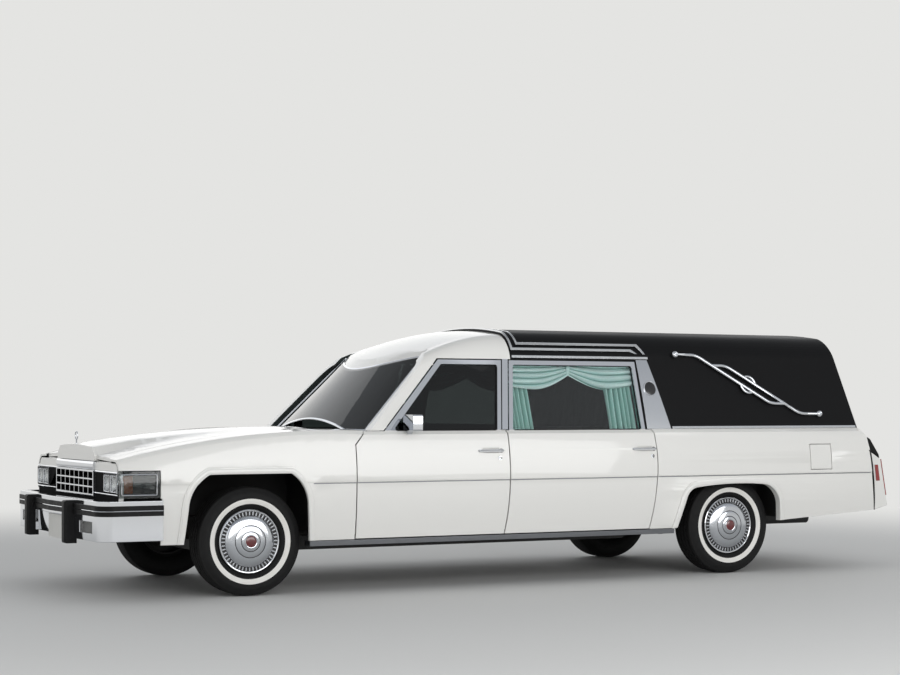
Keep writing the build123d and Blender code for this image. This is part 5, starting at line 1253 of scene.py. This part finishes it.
# Plain oval medallions on the bright post panels
medal_x = -1.000
medal_z = 1.320
medal_lift = 4 * mm
medal_profile = [(0.052, -0.002, 0), (0.052, 0.004, 0), (0.050, 0.0065, 0), (0.0455, 0.006, 0),
                 (0.0445, 0.0035, 1), (0.036, 0.0048, 1), (0.0, 0.0075, 1)]
for name, side in sides:
    medal_spot = side_spot(medal_x, medal_z, side, medal_lift + panel_swell(medal_z))
    medal = placed(turned(medal_profile, 48, squash=1.06), medal_spot)
    finished(medal, "medallion_" + name, "body", "chrome", chrome_plate, black_enamel)

# Floor: pale paint near the car that runs into the background colour far away
backdrop = "#e4e4e2"
floor_size = 240
floor_near = 4.6
floor_far = 10.5
floor_mesh = bpy.data.meshes.new("studio_floor")
half = floor_size / 2
floor_corners = [(-half, -half, 0), (half, -half, 0), (half, half, 0), (-half, half, 0)]
floor_mesh.from_pydata(floor_corners, [], [(0, 1, 2, 3)])
floor = bpy.data.objects.new("studio_floor", floor_mesh)
bpy.context.scene.collection.objects.link(floor)
floor_paint, floor_tree, floor_shader = surface("pale_studio_floor", "#d6d6d4", Roughness=0.75)
floor_place = add_node(floor_tree, "ShaderNodeTexCoord")
floor_way = add_node(floor_tree, "ShaderNodeVectorMath", {"operation": "LENGTH"},
                     {0: floor_place.outputs["Object"]})
floor_fade = add_node(floor_tree, "ShaderNodeMapRange",
                      {"From Min": floor_near, "From Max": floor_far, "interpolation_type": "SMOOTHSTEP"},
                      {"Value": floor_way.outputs["Value"]})
floor_glow = add_node(floor_tree, "ShaderNodeEmission", {"Color": linear(backdrop), "Strength": 1.0})
floor_mix = add_node(floor_tree, "ShaderNodeMixShader",
                     links={0: floor_fade.outputs["Result"], 1: floor_shader.outputs["BSDF"],
                            2: floor_glow.outputs["Emission"]})
floor_tree.links.new(floor_mix.outputs["Shader"], floor_tree.nodes["Material Output"].inputs["Surface"])
floor_mesh.materials.append(floor_paint)

# Sky: the camera, metal and glass see a pale wall that darkens overhead; matt surfaces get soft grey light
sky_shades = ((0.0, backdrop), (0.24, backdrop), (0.40, "#c9ccd0"), (0.50, "#c2c5c9"), (0.56, "#b4b8bd"),
              (0.66, "#b0b4b8"), (1.0, "#3c4046"))
world = bpy.data.worlds.new("soft_studio")
bpy.context.scene.world = world
world.use_nodes = True
sky = world.node_tree
sky.nodes.clear()
sky_place = add_node(sky, "ShaderNodeTexCoord")
sky_split = add_node(sky, "ShaderNodeSeparateXYZ", links={"Vector": sky_place.outputs["Generated"]})
sky_ramp = add_node(sky, "ShaderNodeValToRGB", links={"Fac": sky_split.outputs["Z"]})
for position, _ in sky_shades[1:-1]:
    sky_ramp.color_ramp.elements.new(position)
for sky_stop, (_, colour) in zip(sky_ramp.color_ramp.elements, sky_shades):
    sky_stop.color = linear(colour)
sky_light = add_node(sky, "ShaderNodeBackground", {"Color": linear("#dfe2e6"), "Strength": 0.46})
sky_show = add_node(sky, "ShaderNodeBackground", {"Strength": 1.0}, {"Color": sky_ramp.outputs["Color"]})
sky_path = add_node(sky, "ShaderNodeLightPath")
sky_sharp = add_node(sky, "ShaderNodeMath", {"operation": "MAXIMUM"},
                     {0: sky_path.outputs["Is Camera Ray"], 1: sky_path.outputs["Is Glossy Ray"]})
sky_seen = add_node(sky, "ShaderNodeMath", {"operation": "MAXIMUM"},
                    {0: sky_sharp.outputs["Value"], 1: sky_path.outputs["Is Transmission Ray"]})
sky_mix = add_node(sky, "ShaderNodeMixShader",
                   links={0: sky_seen.outputs["Value"], 1: sky_light.outputs["Background"],
                          2: sky_show.outputs["Background"]})
add_node(sky, "ShaderNodeOutputWorld", links={"Surface": sky_mix.outputs["Shader"]})

# Softboxes: name, place, aim, width, height, power
softboxes = [
    ("overhead_box", (0.5, 1.5, 6.5), (0.0, 0.3, 0.8), 12.0, 7.0, 60),
    ("side_box", (-0.4, 9.5, 2.9), (-0.9, 0.5, 0.7), 12.0, 4.0, 410),
    ("nose_box", (9.0, 3.0, 3.5), (2.5, 0.0, 0.8), 8.0, 5.0, 80),
    ("rear_box", (-8.5, -3.0, 4.0), (-2.0, 0.0, 0.9), 8.0, 5.0, 90),
    ("far_box", (0.0, -9.0, 4.5), (0.0, 0.0, 0.8), 14.0, 6.0, 150),
]
for name, place, aim, width, height, power in softboxes:
    lamp = bpy.data.lights.new(name, "AREA")
    lamp.shape = "RECTANGLE"
    lamp.size = width
    lamp.size_y = height
    lamp.energy = power
    box = bpy.data.objects.new(name, lamp)
    box.location = place
    box.rotation_euler = (Vector(aim) - Vector(place)).to_track_quat("-Z", "Y").to_euler()
    bpy.context.scene.collection.objects.link(box)

# Camera where the photograph was taken from
camera_place = Vector((6.330, 12.043, 1.191))
camera_turn = radians(27.18)
camera_data = bpy.data.cameras.new("photo_camera")
camera_data.lens = 75.44
camera_data.sensor_width = 36
camera_data.shift_y = 0.0776
camera_data.clip_end = 300
camera = bpy.data.objects.new("photo_camera", camera_data)
camera.location = camera_place
camera.rotation_euler = Vector((-sin(camera_turn), -cos(camera_turn), 0)).to_track_quat("-Z", "Y").to_euler()
bpy.context.scene.collection.objects.link(camera)
bpy.context.scene.camera = camera
bpy.context.scene.view_settings.view_transform = "Standard"
